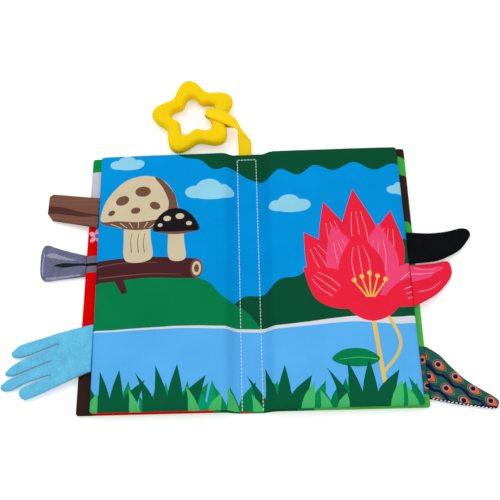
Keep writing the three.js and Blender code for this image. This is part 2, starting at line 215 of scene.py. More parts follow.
def blade(x, y, height, lean, width):
    """A blade of grass, curved towards its tip."""
    tip = (x + lean, y + height)
    left = [(x - width / 2, y), (x - width * 0.32 + lean * 0.25, y + height * 0.55), tip]
    right = [tip, (x + width * 0.36 + lean * 0.42, y + height * 0.5), (x + width / 2, y)]
    return spline(left, False, 5)[:-1] + spline(right, False, 5)


# Prints, each an ink and an outline


def blob(ink, *points):
    return ink, spline(points)


def box(ink, *sides):
    return ink, rectangle(*sides)


def oval(ink, *shape):
    return ink, ellipse(*shape)


def line(ink, width, end_width, *points):
    return ink, stroke(points, width, end_width)


def cloud(x, y, width):
    lobes = ((-0.3, 0.0, 0.22, 0.15), (-0.02, 0.1, 0.27, 0.2),
             (0.3, 0.02, 0.21, 0.15), (0.04, -0.07, 0.4, 0.11))
    return [oval("cloud", x + a * width, y + b * width, c * width, d * width) for a, b, c, d in lobes]


def tuft(x, y, size):
    """A dark tuft of four broad blades that spread from one foot."""
    blades = [box("grass_dark", x - size * 0.44, y - 4, x + size * 0.44, y + size * 0.22)]
    for at, lean, up in ((-0.33, -0.36, 0.86), (-0.12, -0.16, 1.0), (0.12, 0.04, 1.02), (0.34, 0.4, 0.78)):
        blades.append(("grass_dark", blade(x + at * size, y, size * up, size * lean, size * 0.36)))
    return blades


def grass_row(left, right, y, seed, shortest, tallest):
    """Broad blades in three greens, side by side."""
    rng = random.Random(seed)
    blades = []
    x = left
    while x < right:
        height = rng.uniform(shortest, tallest)
        ink = rng.choice(["grass_mid", "grass_teal", "grass_mid", "hill"])
        lean = rng.uniform(-0.45, 0.45) * height
        blades.append((ink, blade(x, y, height, lean, rng.uniform(9.5, 12.5))))
        x += rng.uniform(6.4, 8.8)
    return blades


def inner_artwork():
    """The picture over the inner double page: hanging leaves, a meadow, far woods, water and grass."""
    woods = [(150, 20), (130, 25), (112, 16), (94, 19), (76, 6), (60, 9), (43, -5), (27, -8), (12, -19),
             (-5, -20), (-20, -32), (-38, -36), (-52, -50)]
    meadow = [(-140, 4), (-122, 9), (-98, 5), (-76, 8), (-54, -2), (-36, -8), (-22, -22), (-4, -32),
              (10, -50)]
    shore = [(-140, -50), (-104, -48.2), (-62, -46.4), (-24, -47.6), (12, -49), (48, -46.8), (84, -43),
             (120, -44.6), (150, -43)]
    leaves = [(-74, 125), (-60, 113), (-43, 108), (-30, 98), (-14, 101), (0, 92), (16, 87), (29, 96),
              (45, 90), (60, 99), (77, 93), (95, 101), (112, 93), (130, 98), (150, 91)]
    art = [
        ("canopy", [(150, -60)] + spline(woods, False) + [(-52, -60)]),
        ("hill", [(-140, -60)] + spline(meadow, False) + [(10, -60)]),
        ("water", [(-140, -130), (150, -130)] + spline(shore, False)[::-1]),
        line("bank", 1.0, 3.2, *[(x, y - 0.9) for x, y in shore[:6]]),
        line("bank", 3.2, 6.8, *[(x, y - 0.9 - 0.02 * (x - 48)) for x, y in shore[5:]]),
        ("canopy", spline(leaves, False) + [(150, 125)]),
    ]
    for x, y, width in ((-34, 76, 42), (-108, 106, 30), (37, 60, 36), (136, 72, 28)):
        art += cloud(x, y, width)
    return art + log_and_mushrooms() + water_flower() + reeds()


def log_and_mushrooms():
    """A big cream mushroom and a small dark one on a lying log, on the left page."""
    art = [
        line("bark", 8, 5, (-112, -2), (-105, -17)),
        line("bark", 21, 18, (-140, 1), (-92, 6), (-45, 4)),
        oval("brown", -45, 4, 5.4, 9),
        oval("cream", -45, 4, 3.9, 6.6),
        oval("brown", -45, 4, 2.2, 3.8),
        line("brown", 1.0, 0.5, (-136, 6), (-104, 11), (-78, 10)),
        line("brown", 1.2, 0.5, (-128, -3), (-92, 0), (-58, -1)),
        # The big one: stem, gills under the cap, cap and its shaded side
        blob("cream", (-105, 12), (-108, 30), (-106, 52), (-88, 54), (-85, 34), (-84, 14)),
        blob("brown", (-128, 50), (-116, 44), (-96, 41), (-77, 44), (-64, 52), (-96, 60)),
        blob("cream", (-129, 51), (-125, 70), (-112, 87), (-94, 94), (-76, 89), (-65, 74), (-62, 53),
             (-77, 51), (-96, 49), (-114, 50)),
        blob("brown", (-83, 92), (-76, 89), (-65, 74), (-62, 53), (-72, 51.5), (-70, 66), (-75, 80)),
    ]
    spots = ((-111, 70, 6.2, 25), (-93, 78, 7.0, 0), (-82, 64, 5.0, -30), (-99, 60, 4.2, 10),
             (-120, 58, 3.4, 40))
    for x, y, size, turn in spots:
        art.append(oval("brown", x, y, size, size * 0.72, turn))
    for k in range(7):
        x = -120 + 8 * k
        art.append(line("cream", 0.8, 0.5, (x, 48.6 - 0.0022 * (x + 96) ** 2), (-96 + (x + 96) * 0.6, 43)))
    for x in (-101, -95, -90):
        art.append(line("brown", 0.7, 0.4, (x, 20), (x - 1, 30), (x, 38)))
    art += [
        # The small one: stem, gills and cap
        blob("cream", (-68, 13), (-70, 30), (-68, 44), (-58, 44), (-56, 30), (-55, 13)),
        blob("brown", (-82, 40), (-70, 36.5), (-57, 36.5), (-44, 40), (-62, 46)),
        blob("black", (-83, 40), (-80, 51), (-70, 60), (-58, 60), (-48, 52), (-43, 40), (-54, 39),
             (-64, 38.5), (-74, 39)),
    ]
    for x, y, size in ((-71, 51, 3.4), (-60, 53, 3.8), (-77, 45, 2.2), (-52, 46, 2.6)):
        art.append(oval("cream", x, y, size, size * 0.75))
    return art


def petal(foot, tip, width, ink):
    """A pointed petal from its foot to its tip, with three veins."""
    (x, y), (dx, dy) = foot, (tip[0] - foot[0], tip[1] - foot[1])
    length = math.hypot(dx, dy)
    ax, ay = -dy / length * width / 2, dx / length * width / 2

    def at(along, across):
        return (x + dx * along + ax * across, y + dy * along + ay * across)

    sides = [[foot, at(0.3, 0.86 * way), at(0.62, way), tip] for way in (1, -1)]
    art = [(ink, spline(sides[0], False)[:-1] + spline(sides[1][::-1], False)[:-1])]
    for share in (-0.4, 0.0, 0.4):
        vein = [at(t, share * s) for t, s in ((0.42, 0.9), (0.62, 1.0), (0.8, 0.6))]
        art.append(line("rose", 0.8, 0.4, *vein))
    return art


def water_flower():
    """A big water flower on the right page; the pink tail is one of its petals."""
    art = [
        line("yellow", 3.6, 3.0, (101, -40), (104, -74), (108, -114)),
        line("yellow", 2.8, 2.2, (112, -40), (121, -60), (119, -74), (106, -90)),
        blob("yellow", (108, -108), (99, -112), (90, -117), (98, -119), (110, -117), (118, -113)),
        blob("hill", (104, -78), (92, -70), (76, -70), (66, -78), (80, -84), (96, -84)),
        line("grass_light", 0.9, 0.4, (102, -79), (88, -77), (72, -78)),
    ]
    for foot, tip, width, ink in (
        ((90, -34), (66, 62), 30, "red"),
        ((100, -36), (92, 74), 32, "red"),
        ((108, -34), (123, 52), 30, "red"),
        ((88, -36), (48, 34), 30, "red"),
        ((110, -32), (156, 6), 26, "pink"),
        ((94, -36), (72, 40), 30, "pink"),
        ((106, -36), (112, 40), 32, "pink"),
        ((108, -32), (160, -14), 23, "red"),
        ((92, -36), (46, 2), 30, "red"),
        ((98, -40), (92, 34), 36, "red"),
    ):
        art += petal(foot, tip, width, ink)
    art.append(blob("red", (80, -30), (88, -42), (101, -47), (116, -42), (124, -30), (102, -24)))
    for k in range(5):
        x, lower = 88 + 6.5 * k, abs(k - 2) * 3
        art.append(line("yellow", 1.5, 1.0, (98 + 1.4 * k, -26), (x, -6 - lower)))
        art.append(oval("yellow", x, -5 - lower, 2.0))
    return art


def reeds():
    """Grass at the foot of both pages."""
    art = grass_row(-131, -4, -120, 47, 16, 29) + grass_row(4, 142, -120, 59, 16, 30)
    for x, size in ((-112, 36), (-66, 40), (22, 37), (89, 40)):
        art += tuft(x, -119, size)
    for x, height, lean in ((-128, 19, 5), (-92, 22, -6), (-45, 25, -8), (-30, 17, 6), (-14, 23, -5),
                            (6, 18, -6), (44, 24, 7), (60, 18, -5), (72, 15, 4), (114, 24, 6),
                            (128, 19, -5)):
        art.append(("grass_light", blade(x, -120, height, lean, 10.5)))
    return art


def cover_lining_artwork():
    """Blocks of colour on the cover's inner side, of which the outer strips show."""
    art = [
        box("lining_green", -150, 103, -9, 125),
        box("lining_grey", -150, 44, -9, 103),
        box("lining_red", -150, -125, -9, 52),
        box("band_grey", -150, 5.5, -104, 20.5),
        box("black", -150, 11.5, -104, 14.2),
        box("lining_bark", -150, -125, -127.5, -64),
    ]
    flowers = ((-133.2, 39.4, 154), (-118, 24, 70), (-96, 36, 40),
               (-74, 22, 10), (-50, 34, 80), (-28, 24, 30))
    for x, y, turn in flowers:
        for angle in range(turn, turn + 360, 72):
            a = math.radians(angle)
            art.append(oval("petal", x + 4.2 * math.cos(a), y + 4.2 * math.sin(a), 3.3, 2.1, angle))
        art.append(oval("band_grey", x, y, 1.9))
    art += [
        box("lining_lime", 9, -125, 150, 125),
        box("lining_bark", 118, 30, 150, 125),
        blob("cover", (152, 100), (141, 106), (134, 108), (128, 100), (132, 91), (139, 89), (152, 84)),
        blob("cover", (152, 34), (142, 40), (136, 44), (126, 38), (128, 26), (152, 22)),
        box("teal", 112, -107, 150, -68),
    ]
    for x, y in ((139, -79), (133, -91), (141, -100), (122, -82), (120, -99)):
        art += feather_eye(x, y, 4.6, 20)
    return art + [oval("hill", 10, -118, 40, 44), oval("canopy", 6, -120, 31, 30)]


def feather_eye(x, y, size, turn):
    """One eye of a feather print: a gold rim, an orange drop with a pale head and a dark middle."""
    drop = [(-0.95, 0.0), (-0.68, 0.5), (-0.1, 0.68), (0.55, 0.52), (1.18, 0.0), (0.55, -0.52),
            (-0.1, -0.68), (-0.68, -0.5)]
    head = [(-0.8, 0.0), (-0.55, 0.44), (-0.05, 0.56), (0.3, 0.3), (0.3, -0.3),
            (-0.05, -0.56), (-0.55, -0.44)]
    layers = (("gold", drop, 1.16), ("teal_dark", drop, 1.03), ("orange", drop, 0.88),
              ("eye_pale", head, 0.92))
    art = [(ink, spline(placed(ring, x, y, turn, size * share), True, 1.0)) for ink, ring, share in layers]
    c, s = math.cos(math.radians(turn)), math.sin(math.radians(turn))
    for ink, back, share in (("eye_blue", 0.22, 0.42), ("navy", 0.14, 0.36)):
        art.append(oval(ink, x - c * size * back, y - s * size * back, size * share))
    return art


def cover_artwork():
    """The outer side of the cover: round leaves on light green, set in rows."""
    leaf = [(-9, 0), (-3, 4.6), (4, 4.2), (10, 0), (4, -4.2), (-3, -4.6)]
    art = []
    for row in range(7):
        for column in range(9):
            x, y = -136 + 34 * column + (17 if row % 2 else 0), -102 + 34 * row
            if abs(x) < 16:
                continue
            turn = 40 if (row + column) % 2 else 140
            art.append(blob("lining_green", *placed(leaf, x, y, turn)))
            art.append(line("grass_light", 0.8, 0.4, *placed([(-7, 0), (8, 0)], x, y, turn)))
    return art


def inner_back_artwork():
    """The back of the inner double page: hills by the water."""
    art = [
        box("hill", -150, -130, 150, -40),
        oval("grass_dark", -100, -44, 60, 34),
        oval("hill", -30, -48, 50, 26),
        oval("grass_dark", 50, -44, 56, 36),
        oval("grass_mid", 118, -50, 46, 26),
    ]
    for x, y, width in ((-90, 70, 40), (-40, 40, 30), (50, 62, 38), (104, 30, 30)):
        art += cloud(x, y, width)
    return art + grass_row(-134, 138, -119, 31, 12, 26)


def prints_between(art, low, high):
    """The prints that reach into a range of x."""
    return [(ink, ring) for ink, ring in art if max(ring)[0] > low and min(ring)[0] < high]


# Padded pieces


def inside(points, outline):
    """Which of the points lie inside a closed outline."""
    points, ring = np.asarray(points, float), np.asarray(outline, float)
    found = np.zeros(len(points), bool)
    for (ax, ay), (bx, by) in zip(ring, np.roll(ring, -1, 0)):
        crosses = (ay > points[:, 1]) != (by > points[:, 1])
        with np.errstate(divide="ignore", invalid="ignore"):
            found ^= crosses & (points[:, 0] < (bx - ax) * (points[:, 1] - ay) / (by - ay) + ax)
    return found


def edge_distance(points, outline, skip=None):
    """How far each point is from the nearest side of an outline, without the sides at the x to skip."""
    points, ring = np.asarray(points, float), np.asarray(outline, float)
    best = np.full(len(points), 1e9)
    for a, b in zip(ring, np.roll(ring, -1, 0)):
        if skip is not None and max(abs(abs(a[0]) - skip), abs(abs(b[0]) - skip)) < 0.01:
            continue
        span = b - a
        t = np.clip(((points - a) @ span) / max(span @ span, 1e-12), 0, 1)
        best = np.minimum(best, np.hypot(*(points - a - t[:, None] * span).T))
    return best


def resample(outline, step):
    """The outline with its long sides cut into steps."""
    ring = []
    for a, b in zip(outline, outline[1:] + outline[:1]):
        parts = max(1, math.ceil(math.dist(a, b) / step))
        ring += [(a[0] + (b[0] - a[0]) * k / parts, a[1] + (b[1] - a[1]) * k / parts) for k in range(parts)]
    return ring


def area(polygon):
    return sum(a[0] * b[1] - b[0] * a[1] for a, b in zip(polygon, polygon[1:] + polygon[:1])) / 2


def counter_clockwise(polygon):
    return polygon if area(polygon) > 0 else polygon[::-1]


def loose_points(outline, spacing, rim):
    """Points inside an outline: rows of triangles, and rings that follow the outline at the rim's insets."""
    ring = np.asarray(outline)
    low, high = ring.min(0), ring.max(0)
    rows = np.arange(low[1] + spacing / 2, high[1], spacing * 0.87)
    columns = np.arange(low[0], high[0], spacing)
    loose = np.asarray([(x + (spacing / 2 if k % 2 else 0), y) for k, y in enumerate(rows) for x in columns])
    loose = loose[inside(loose, ring)]
    loose = loose[edge_distance(loose, ring) > max(rim) + spacing * 0.4]
    turned = 1 if area(outline) > 0 else -1
    span = np.roll(ring, -1, 0) - np.roll(ring, 1, 0)
    normal = turned * np.stack([-span[:, 1], span[:, 0]], 1) / np.maximum(np.hypot(*span.T), 1e-9)[:, None]
    for inset in rim:
        moved = ring + normal * inset
        moved = moved[inside(moved, ring)]
        loose = np.concatenate([loose, moved[edge_distance(moved, ring) > inset * 0.8]])
    return loose


def cut_cloth(outline, spacing, front=(), back=(), rim=(0.7, 2.0)):
    """Cuts an outline into triangles along its prints: points, triangles, front and back inks."""
    outline = resample(outline, spacing)
    coords, rings = [], []
    for polygon in [outline] + [resample(list(p), spacing / 2) for _, p in list(front) + list(back)]:
        rings.append(list(range(len(coords), len(coords) + len(polygon))))
        coords += [Vector(p) for p in counter_clockwise(polygon)]
    coords += [Vector(p) for p in loose_points(outline, spacing, rim)]
    points, _, triangles, _, _, owners = delaunay_2d_cdt(coords, [], rings, 1, 1e-3, True)
    kept = [(t, o) for t, o in zip(triangles, owners) if 0 in o and len(t) == 3]
    used = sorted({i for t, _ in kept for i in t})
    number = {i: k for k, i in enumerate(used)}
    faces = [tuple(number[i] for i in t) for t, _ in kept]
    last = len(front)
    front_of = [max(i for i in o if i <= last) for _, o in kept]
    back_of = [max([i - last for i in o if i > last] or [0]) for _, o in kept]
    return np.array([points[i][:] for i in used]), faces, front_of, back_of


def two_sides(points, faces):
    """Joins two layers of a cut cloth at their rim: flat places, triangles and the side of each."""
    seen = {}
    for t in faces:
        for edge in zip(t, t[1:] + t[:1]):
            seen[min(edge), max(edge)] = seen.get((min(edge), max(edge)), 0) + 1
    rim = {i for edge, count in seen.items() if count == 1 for i in edge}
    places, sides = [(*p, 0) for p in points], [0 if i in rim else 1 for i in range(len(points))]
    back = {i: i for i in rim}
    for i in range(len(points)):
        if i not in rim:
            back[i] = len(places)
            places.append((*points[i], 0))
            sides.append(-1)
    flat = list(faces) + [tuple(back[i] for i in reversed(t)) for t in faces]
    return np.asarray(places), flat, np.asarray(sides)


def inflate(name, outline, spacing, sewn):
    """Blows up a flat bag, held where x is sewn, with Blender's Cloth: its rest places, sides and moves."""
    points, faces, _, _ = cut_cloth(outline, spacing, rim=(spacing * 0.45,))
    places, flat, sides = two_sides(points, faces)
    rest = places * MM
    rest[:, 2] = sides * BAG_HALF_GAP
    mesh = bpy.data.meshes.new(name + "_bag")
    mesh.from_pydata(rest.tolist(), [], flat)
    bag = bpy.data.objects.new(name + "_bag", mesh)
    scene = bpy.context.scene
    scene.collection.objects.link(bag)
    group = bag.vertex_groups.new(name="sewn")
    group.add([i for i, p in enumerate(places) if sewn(p[0])], 1.0, "REPLACE")
    cloth = bag.modifiers.new("Cloth", "CLOTH")
    settings = cloth.settings
    settings.quality = 6
    settings.mass = 0.2
    settings.tension_stiffness = settings.compression_stiffness = 30
    settings.shear_stiffness = 10
    settings.bending_stiffness = 0.4
    settings.air_damping = 2
    settings.use_pressure = True
    settings.uniform_pressure_force = 4
    settings.vertex_group_mass = "sewn"
    settings.effector_weights.gravity = 0
    cloth.point_cache.frame_start = 1
    cloth.point_cache.frame_end = BAG_FRAMES
    for number in range(1, BAG_FRAMES + 1):
        scene.frame_set(number)
    swollen = bag.evaluated_get(bpy.context.evaluated_depsgraph_get())
    final = np.array([v.co for v in swollen.data.vertices])
    scene.frame_set(1)
    bpy.data.objects.remove(bag)
    bpy.data.meshes.remove(mesh)
    return places, sides, (final - places * MM) / MM


def moves_at(points, side, bag, spacing):
    """The bag's moves at other places of one side, as a smooth mean of the nearest."""
    places, sides, moves = bag
    use = (sides == side) | (sides == 0)
    known, shift = places[use][:, :2], moves[use]
    result = np.zeros((len(points), 3))
    for first in range(0, len(points), 1500):
        part = points[first : first + 1500]
        square = ((part[:, None, :] - known[None, :, :]) ** 2).sum(2)
        weight = np.exp(-square / (0.55 * spacing) ** 2) + 1e-12
        result[first : first + 1500] = (weight @ shift) / weight.sum(1)[:, None]
    return result


def inked_mesh(name, places, faces, colours):
    """A new closed object with an ink for each face, in metres."""
    mesh = bpy.data.meshes.new(name)
    mesh.from_pydata((np.asarray(places) * MM).tolist(), [], faces)
    values = {ink: linear(colour) for ink, colour in INKS.items()}
    ink = mesh.color_attributes.new("ink", "FLOAT_COLOR", "CORNER")
    per_corner = np.repeat([values[c] for c in colours], [len(f) for f in faces], axis=0)
    ink.data.foreach_set("color", per_corner.ravel())
    mesh.polygons.foreach_set("use_smooth", [True] * len(faces))
    mesh.update()
    if not outward(mesh):
        mesh.flip_normals()
    return linked(name, mesh)


def linked(name, mesh):
    piece = bpy.data.objects.new(name, mesh)
    bpy.context.scene.collection.objects.link(piece)
    return piece


def outward(mesh):
    """Whether a closed mesh of triangles has faces that point out of it."""
    corners = np.array([v.co for v in mesh.vertices])[[list(f.vertices) for f in mesh.polygons]]
    return np.einsum("ij,ij->i", corners[:, 0], np.cross(corners[:, 1], corners[:, 2])).sum() > 0


def pad(name, outline, sewn, prints, bases, place, shape):
    """A closed padded piece: its cloth cut along the prints, swollen as a bag swells, and put in place."""
    bag = inflate(name, outline, shape["bag_spacing"], sewn)
    points, faces, front_of, back_of = cut_cloth(outline, shape["spacing"], *prints)
    flat, joined, sides = two_sides(points, faces)
    away = edge_distance(flat[:, :2], outline, shape["open_side"])
    least = np.interp(away, *shape["profile"])
    sway, reach = shape["sway"], shape["bag_spacing"]
    result = np.zeros_like(flat)
    for side in (1, -1):
        use = sides == side
        moves = moves_at(flat[use][:, :2], side, bag, reach)
        swell = np.clip(np.abs(moves[:, 2]) / shape["puff"], 0, 1)
        swell = np.sqrt(1 - (1 - swell) ** 2) * np.sqrt(np.clip(away[use] / SEAM_ROUND, 0, 1))
        result[use, :2] = np.clip(moves[:, :2], -sway, sway)
        result[use, 2] = side * np.maximum(swell, least[use])
    use = sides == 0
    both = sum(moves_at(flat[use][:, :2], side, bag, reach) for side in (1, -1)) / 2
    result[use, :2] = np.clip(both[:, :2], -sway, sway)
    final = place(flat[:, 0] + result[:, 0], flat[:, 1] + result[:, 1], result[:, 2], sides, away)
    inks = [[base] + [ink for ink, _ in art] for base, art in zip(bases, prints)]
    colours = [inks[0][i] for i in front_of] + [inks[1][i] for i in back_of]
    return inked_mesh(name + "_cloth", final, joined, colours)


def ripple(x, y, scale, seed):
    """Smooth noise at each point, between about -1 and 1."""
    return np.array([noise.noise(Vector((a / scale, b / scale, seed))) for a, b in zip(x, y)]) * 1.8


def ease(t):
    t = np.clip(t, 0, 1)
    return t * t * (3 - 2 * t)


# How far a tail goes into its leaf, half its thickness, the height of its ripples, how far beyond the leaf's
# edge its pivot is and beyond its pivot its root, and the lowest place that it reaches
TAIL_SEAM = 1.5
TAIL_HALF = 1.75
TAIL_RIPPLE = 0.15
TAIL_PIVOT = 0.45
TAIL_START = 0.2
TAIL_LOWEST = 0.1

# The spacing of a piece's points and of its bag's, the least swell by the distance from the seam, the bag's
# rise that fills the piece, how far the cloth may pull in, and the x of the side that isn't a seam
LEAF_SHAPE = {
    "spacing": 3.6,
    "bag_spacing": 5.0,
    "profile": ((0, 1.2, 3.6, 8), (0, 0.5, 0.85, 1)),
    "puff": 4.0,
    "sway": 0.7,
    "open_side": FOLD_SIDE,
}
TAIL_SHAPE = {
    "spacing": 2.0,
    "bag_spacing": 2.6,
    "profile": ((0, 0.45, 1.1), (0, 0.68, 1)),
    "puff": 2.6,
    "sway": 0.5,
    "open_side": TAIL_SEAM,
}

LEAVES = {
    # name: side, level, height, base ink of the front and of the back, nodes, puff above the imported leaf
    "leaf_1": (-1, 0, COVER_HEIGHT, "lining_red", "cover", ("front_cover", "page_1"), 0.0),
    "leaf_2": (-1, 1, PAGE_HEIGHT, "sky", "sky", ("page_2", "page_3"), 1.0),
    "leaf_3": (1, 1, PAGE_HEIGHT, "sky", "sky", ("page_5", "page_4"), 1.0),
    "leaf_4": (1, 0, COVER_HEIGHT, "lining_green", "cover", ("back_cover", "page_6"), 0.0),
}


def reach_at(name, y):
    """How far a leaf reaches from its fold at a place up the book."""
    foot, head = LEAF_REACH[name]
    return foot + (head - foot) * (y / LEAVES[name][2] + 0.5)


def leaf_outline(name):
    side, _, height = LEAVES[name][:3]
    points = [(FOLD_SIDE, -height / 2)]
    for sign in (-1, 1):
        corner = []
        for k in range(7):
            a = math.pi / 2 * k / 6
            y = sign * (height / 2 - LEAF_CORNER + LEAF_CORNER * math.cos(a))
            corner.append((LEAF_X + reach_at(name, y) - LEAF_CORNER + LEAF_CORNER * math.sin(a), y))
        points += corner[::-sign]
    points.append((FOLD_SIDE, height / 2))
    return counter_clockwise([(side * x, y) for x, y in points])


def leaf_place(side, level, extra):
    """Puts a flat swollen leaf at its height: low at the fold, level beyond it."""
    band = BAND_PITCH * level + BAND_HALF
    seam = LEAF_PITCH * level + LEAF_HALF
    seed = 3.1 * side + 7 * level

    def place(x, y, swell, sides, away):
        s = np.abs(x) - LEAF_X
        rise = ease(s / SLOPE_LENGTH)
        middle = band + (seam - band) * rise
        top = BAND_HALF + (LEAF_HALF - BAND_HALF + extra) * rise
        bottom = BAND_HALF + (LEAF_HALF - BAND_HALF) * rise
        z = middle + np.where(swell > 0, swell * top, swell * bottom)
        upper = rise * (sides > 0) * (extra > 0)
        wave = 0.55 * ripple(x, y, 31, seed) + 0.25 * ripple(x, y, 13, seed + 5)
        pull = np.exp(-np.maximum(s, 0) / 13) * 0.5 * ripple(x * 0.3, y * 1.6, 9, seed + 9)
        return np.stack([x, y, z + upper * (np.clip(away / 14, 0, 1) * (wave - 0.4) + pull)], 1)

    return place


def build_leaf(name):
    side, level, _, base_front, base_back, nodes, extra = LEAVES[name]
    art = (inner_artwork(), inner_back_artwork()) if level else (cover_lining_artwork(), cover_artwork())
    low, high = sorted((side * (FOLD_X - 1), side * (LEAF_X + max(LEAF_REACH[name]) + 1)))
    prints = [prints_between(layer, low, high) for layer in art]
    bases = (base_front, base_back)
    place = leaf_place(side, level, extra)
    piece = pad(name, leaf_outline(name), lambda x: abs(x) < FOLD_X + 0.5, prints, bases, place, LEAF_SHAPE)
    slot = "inner_page_print" if level else "cover_print"
    finish(piece, name, "printed_polyester", slot, *[n + "_fabric" for n in nodes])


def finish(piece, body, surface, slot, *nodes):
    """Gives a new piece its material and body, and hides the nodes that it stands for; the slot is not used.
    """
    piece.data.materials.clear()
    piece.data.materials.append(material(surface))
    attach(piece, body)
    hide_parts(*nodes)


# Tails

TAILS = {
    # name: leaf, reach, root, place up the book, droop in degrees, runs of the outline in shares of the
    # reach and of half the root
    "brown_tail": ("leaf_2", 46.7, 29, 60.301, 7.83,
                   [[(0, 1), (0.91, 1.56)], [(0.99, 1.4), (1, 0.27)], [(0.88, -0.28), (0, -1)]]),
    "blue_tail": ("leaf_2", 73.8, 40, -62.369, 4.82, [
        [(0, 1), (0.22, 0.86), (0.4, 0.72), (0.58, 0.54), (0.8, 0.33), (0.88, 0.14), (0.92, -0.06),
         (0.88, -0.23), (0.8, -0.25), (0.7, -0.15)],
        [(0.392, 0.242), (0.397, 0.21)],
        [(0.7, -0.2), (0.88, -0.52), (0.95, -0.76), (0.97, -0.88), (0.95, -0.98), (0.87, -1), (0.81, -0.94)],
        [(0.462, -0.489), (0.467, -0.521)],
        [(0.86, -1.08), (0.93, -1.19), (1, -1.41), (1, -1.54), (0.97, -1.65), (0.91, -1.67), (0.83, -1.59),
         (0.74, -1.39)],
        [(0.455, -1.068), (0.46, -1.107)],
        [(0.7, -1.46), (0.76, -1.57), (0.78, -1.76), (0.76, -1.92), (0.71, -2.04), (0.65, -2.01),
         (0.43, -1.69), (0.15, -1.23), (0, -1)]]),
    "grey_tail": ("leaf_1", 39, 20, 12.15, 1.19,
                  [[(0, 1), (0.45, 1.52), (0.7, 1.86), (0.86, 2.1), (0.95, 1.98), (1, 1.35), (1, 0.1),
                    (0.97, -0.74), (0.9, -1.17), (0.8, -1.29), (0.5, -1.17), (0, -1)]]),
    "black_tail": ("leaf_3", 54.7, 29, 17.461, 6.61,
                   [[(0, 1), (0.33, 0.98), (0.6, 1.1), (0.79, 1.27), (0.88, 1.33), (0.97, 1.22), (1, 0.9),
                     (0.93, 0.47), (0.8, -0.08), (0.62, -0.49), (0.38, -0.84), (0, -1)]]),
    "pink_tail": ("leaf_3", 35.1, 36, -16.34, 10.68,
                  [[(0, 1), (0.3, 1.08), (0.6, 1.16), (0.85, 1.28), (0.95, 1.23), (1, 0.9), (0.96, 0.5),
                    (0.77, 0.01), (0.5, -0.46), (0, -1)]]),
    "peacock_tail": ("leaf_4", 52.5, 43, -88.807, 0.87,
                     [[(0, 1), (0.19, 0.67), (0.34, 0.25), (0.52, -0.21), (0.73, -0.6), (0.92, -0.91),
                       (1, -1.1), (0.98, -1.31), (0.92, -1.4), (0.66, -1.31), (0.38, -1.21), (0, -1)]]),
}

TAIL_LOOKS = {
    # name: ink, material, slot, fill
    "brown_tail": ("brown_tail", "printed_polyester", "brown_print", 0.45),
    "blue_tail": ("fleece", "brushed_fleece", "blue_fleece", 0.4),
    "grey_tail": ("plush_grey", "short_plush", "grey_plush", 0.6),
    "black_tail": ("plush_black", "short_plush", "black_plush", 0.6),
    "pink_tail": ("red", "printed_polyester", "pink_print", 0.5),
    "peacock_tail": ("teal", "printed_polyester", "feather_print", 0.45),
}


def tail_outline(reach, root, runs):
    """A tail's outline from its root outwards, with a seam allowance that goes into the leaf."""
    corners = []
    for run in runs:
        places = [(reach * a, root / 2 * b) for a, b in run]
        corners += spline(places, False, 2.0) if len(run) > 2 else places
    ring = [(-TAIL_SEAM, root / 2)] + corners + [(-TAIL_SEAM, -root / 2)]
    return counter_clockwise([p for k, p in enumerate(ring) if math.dist(p, ring[k - 1]) > 0.05])


def brown_tail_artwork():
    art = [blob("brown_wedge", (-3, -2.6), (1, -1.9), (8, -0.4), (15.7, 2.0), (28, 6.4), (37, 8.9),
                (50, 10.6), (50, 4.0), (37, 2.0), (27.5, -0.2), (13.4, -3.2), (1, -3.7), (-3, -3.8))]
    for a, b in ((11.5, 17.8), (7.0, 14.2), (-6.5, -0.8), (-10.5, -4.2)):
        art.append(line("brown_line", 0.45, 0.45, (-2, a), (23.35, (a + b) / 2 - 0.6), (49.7, b)))
    return art


def grey_tail_artwork():
    return [
        blob("plush_lilac", (33.6, 10.4), (31.3, 12.7), (27, 12.6), (18, 8.8), (7.4, 5.2), (18, 6.0),
             (27, 7.9), (32, 8.6)),
        line("plush_lilac", 1.2, 2.6, (3, -8.6), (14, -9.7), (24, -10.9), (33, -11.2)),
        line("plush_lilac", 1.6, 0.8, (35.5, -8), (36.4, 2), (35.4, 12)),
        blob("plush_quill", (26.4, 1.0), (22, 2.5), (16, 3.0), (8, 2.3), (-3, 2.0), (-3, 0.5), (8, -0.4),
             (16.5, -1.3), (22, -0.7)),
    ]


def pink_tail_artwork():
    wing = ((-3, 0.93), (6, 0.86), (16, 0.88), (24.5, 0.98), (27, 0.9), (24, 0.76), (17.5, 0.6), (16, 0.46),
            (9, 0.3), (-3, 0.2))
    return [
        blob("pink", *[(x, 18 * share) for x, share in wing]),
        line("rose", 0.9, 0.5, (-2, 9.7), (8, 9.9), (19, 11.6)),
        line("rose", 0.7, 0.4, (3, -6), (11, -4.2), (17, -1.4), (24, 4.3)),
        line("rose", 0.4, 0.3, (2, 14.6), (12, 13.8), (21, 14.8)),
    ]


def peacock_tail_artwork():
    """Feather eyes in slanting rows with wavy bands between them, and a navy rim with light stitches."""
    art = []
    for row in range(1, 4):
        head = 20.1 - 15.8 * row
        wave = [(x, head - 0.794 * x + 1.6 * math.sin(0.5 * x + 2 * row)) for x in range(-6, 62, 4)]
        art.append(line("navy", 2.6, 1.8, *wave))
        art.append(line("teal_dark", 1.8, 1.0, *[(x, y + 3.4) for x, y in wave]))
    for row in range(-2, 5):
        for column in range(-2, 6):
            art += feather_eye(8.6 + 12.6 * column - 8.4 * row, 5.4 - 10.0 * column - 9.2 * row, 5.1, -42)
    art.append(line("navy", 3.2, 3.8, (-2, -21.6), (9.7, -23.9), (23.1, -26.6), (34.6, -28.6), (50, -30.2)))
    for k in range(17):
        x = 1.5 + 2.9 * k
        art.append(oval("white", x, -20.9 - 0.245 * x + 0.0012 * x * x, 0.95, 0.36, -14 + 30 * (k % 2)))
    return art


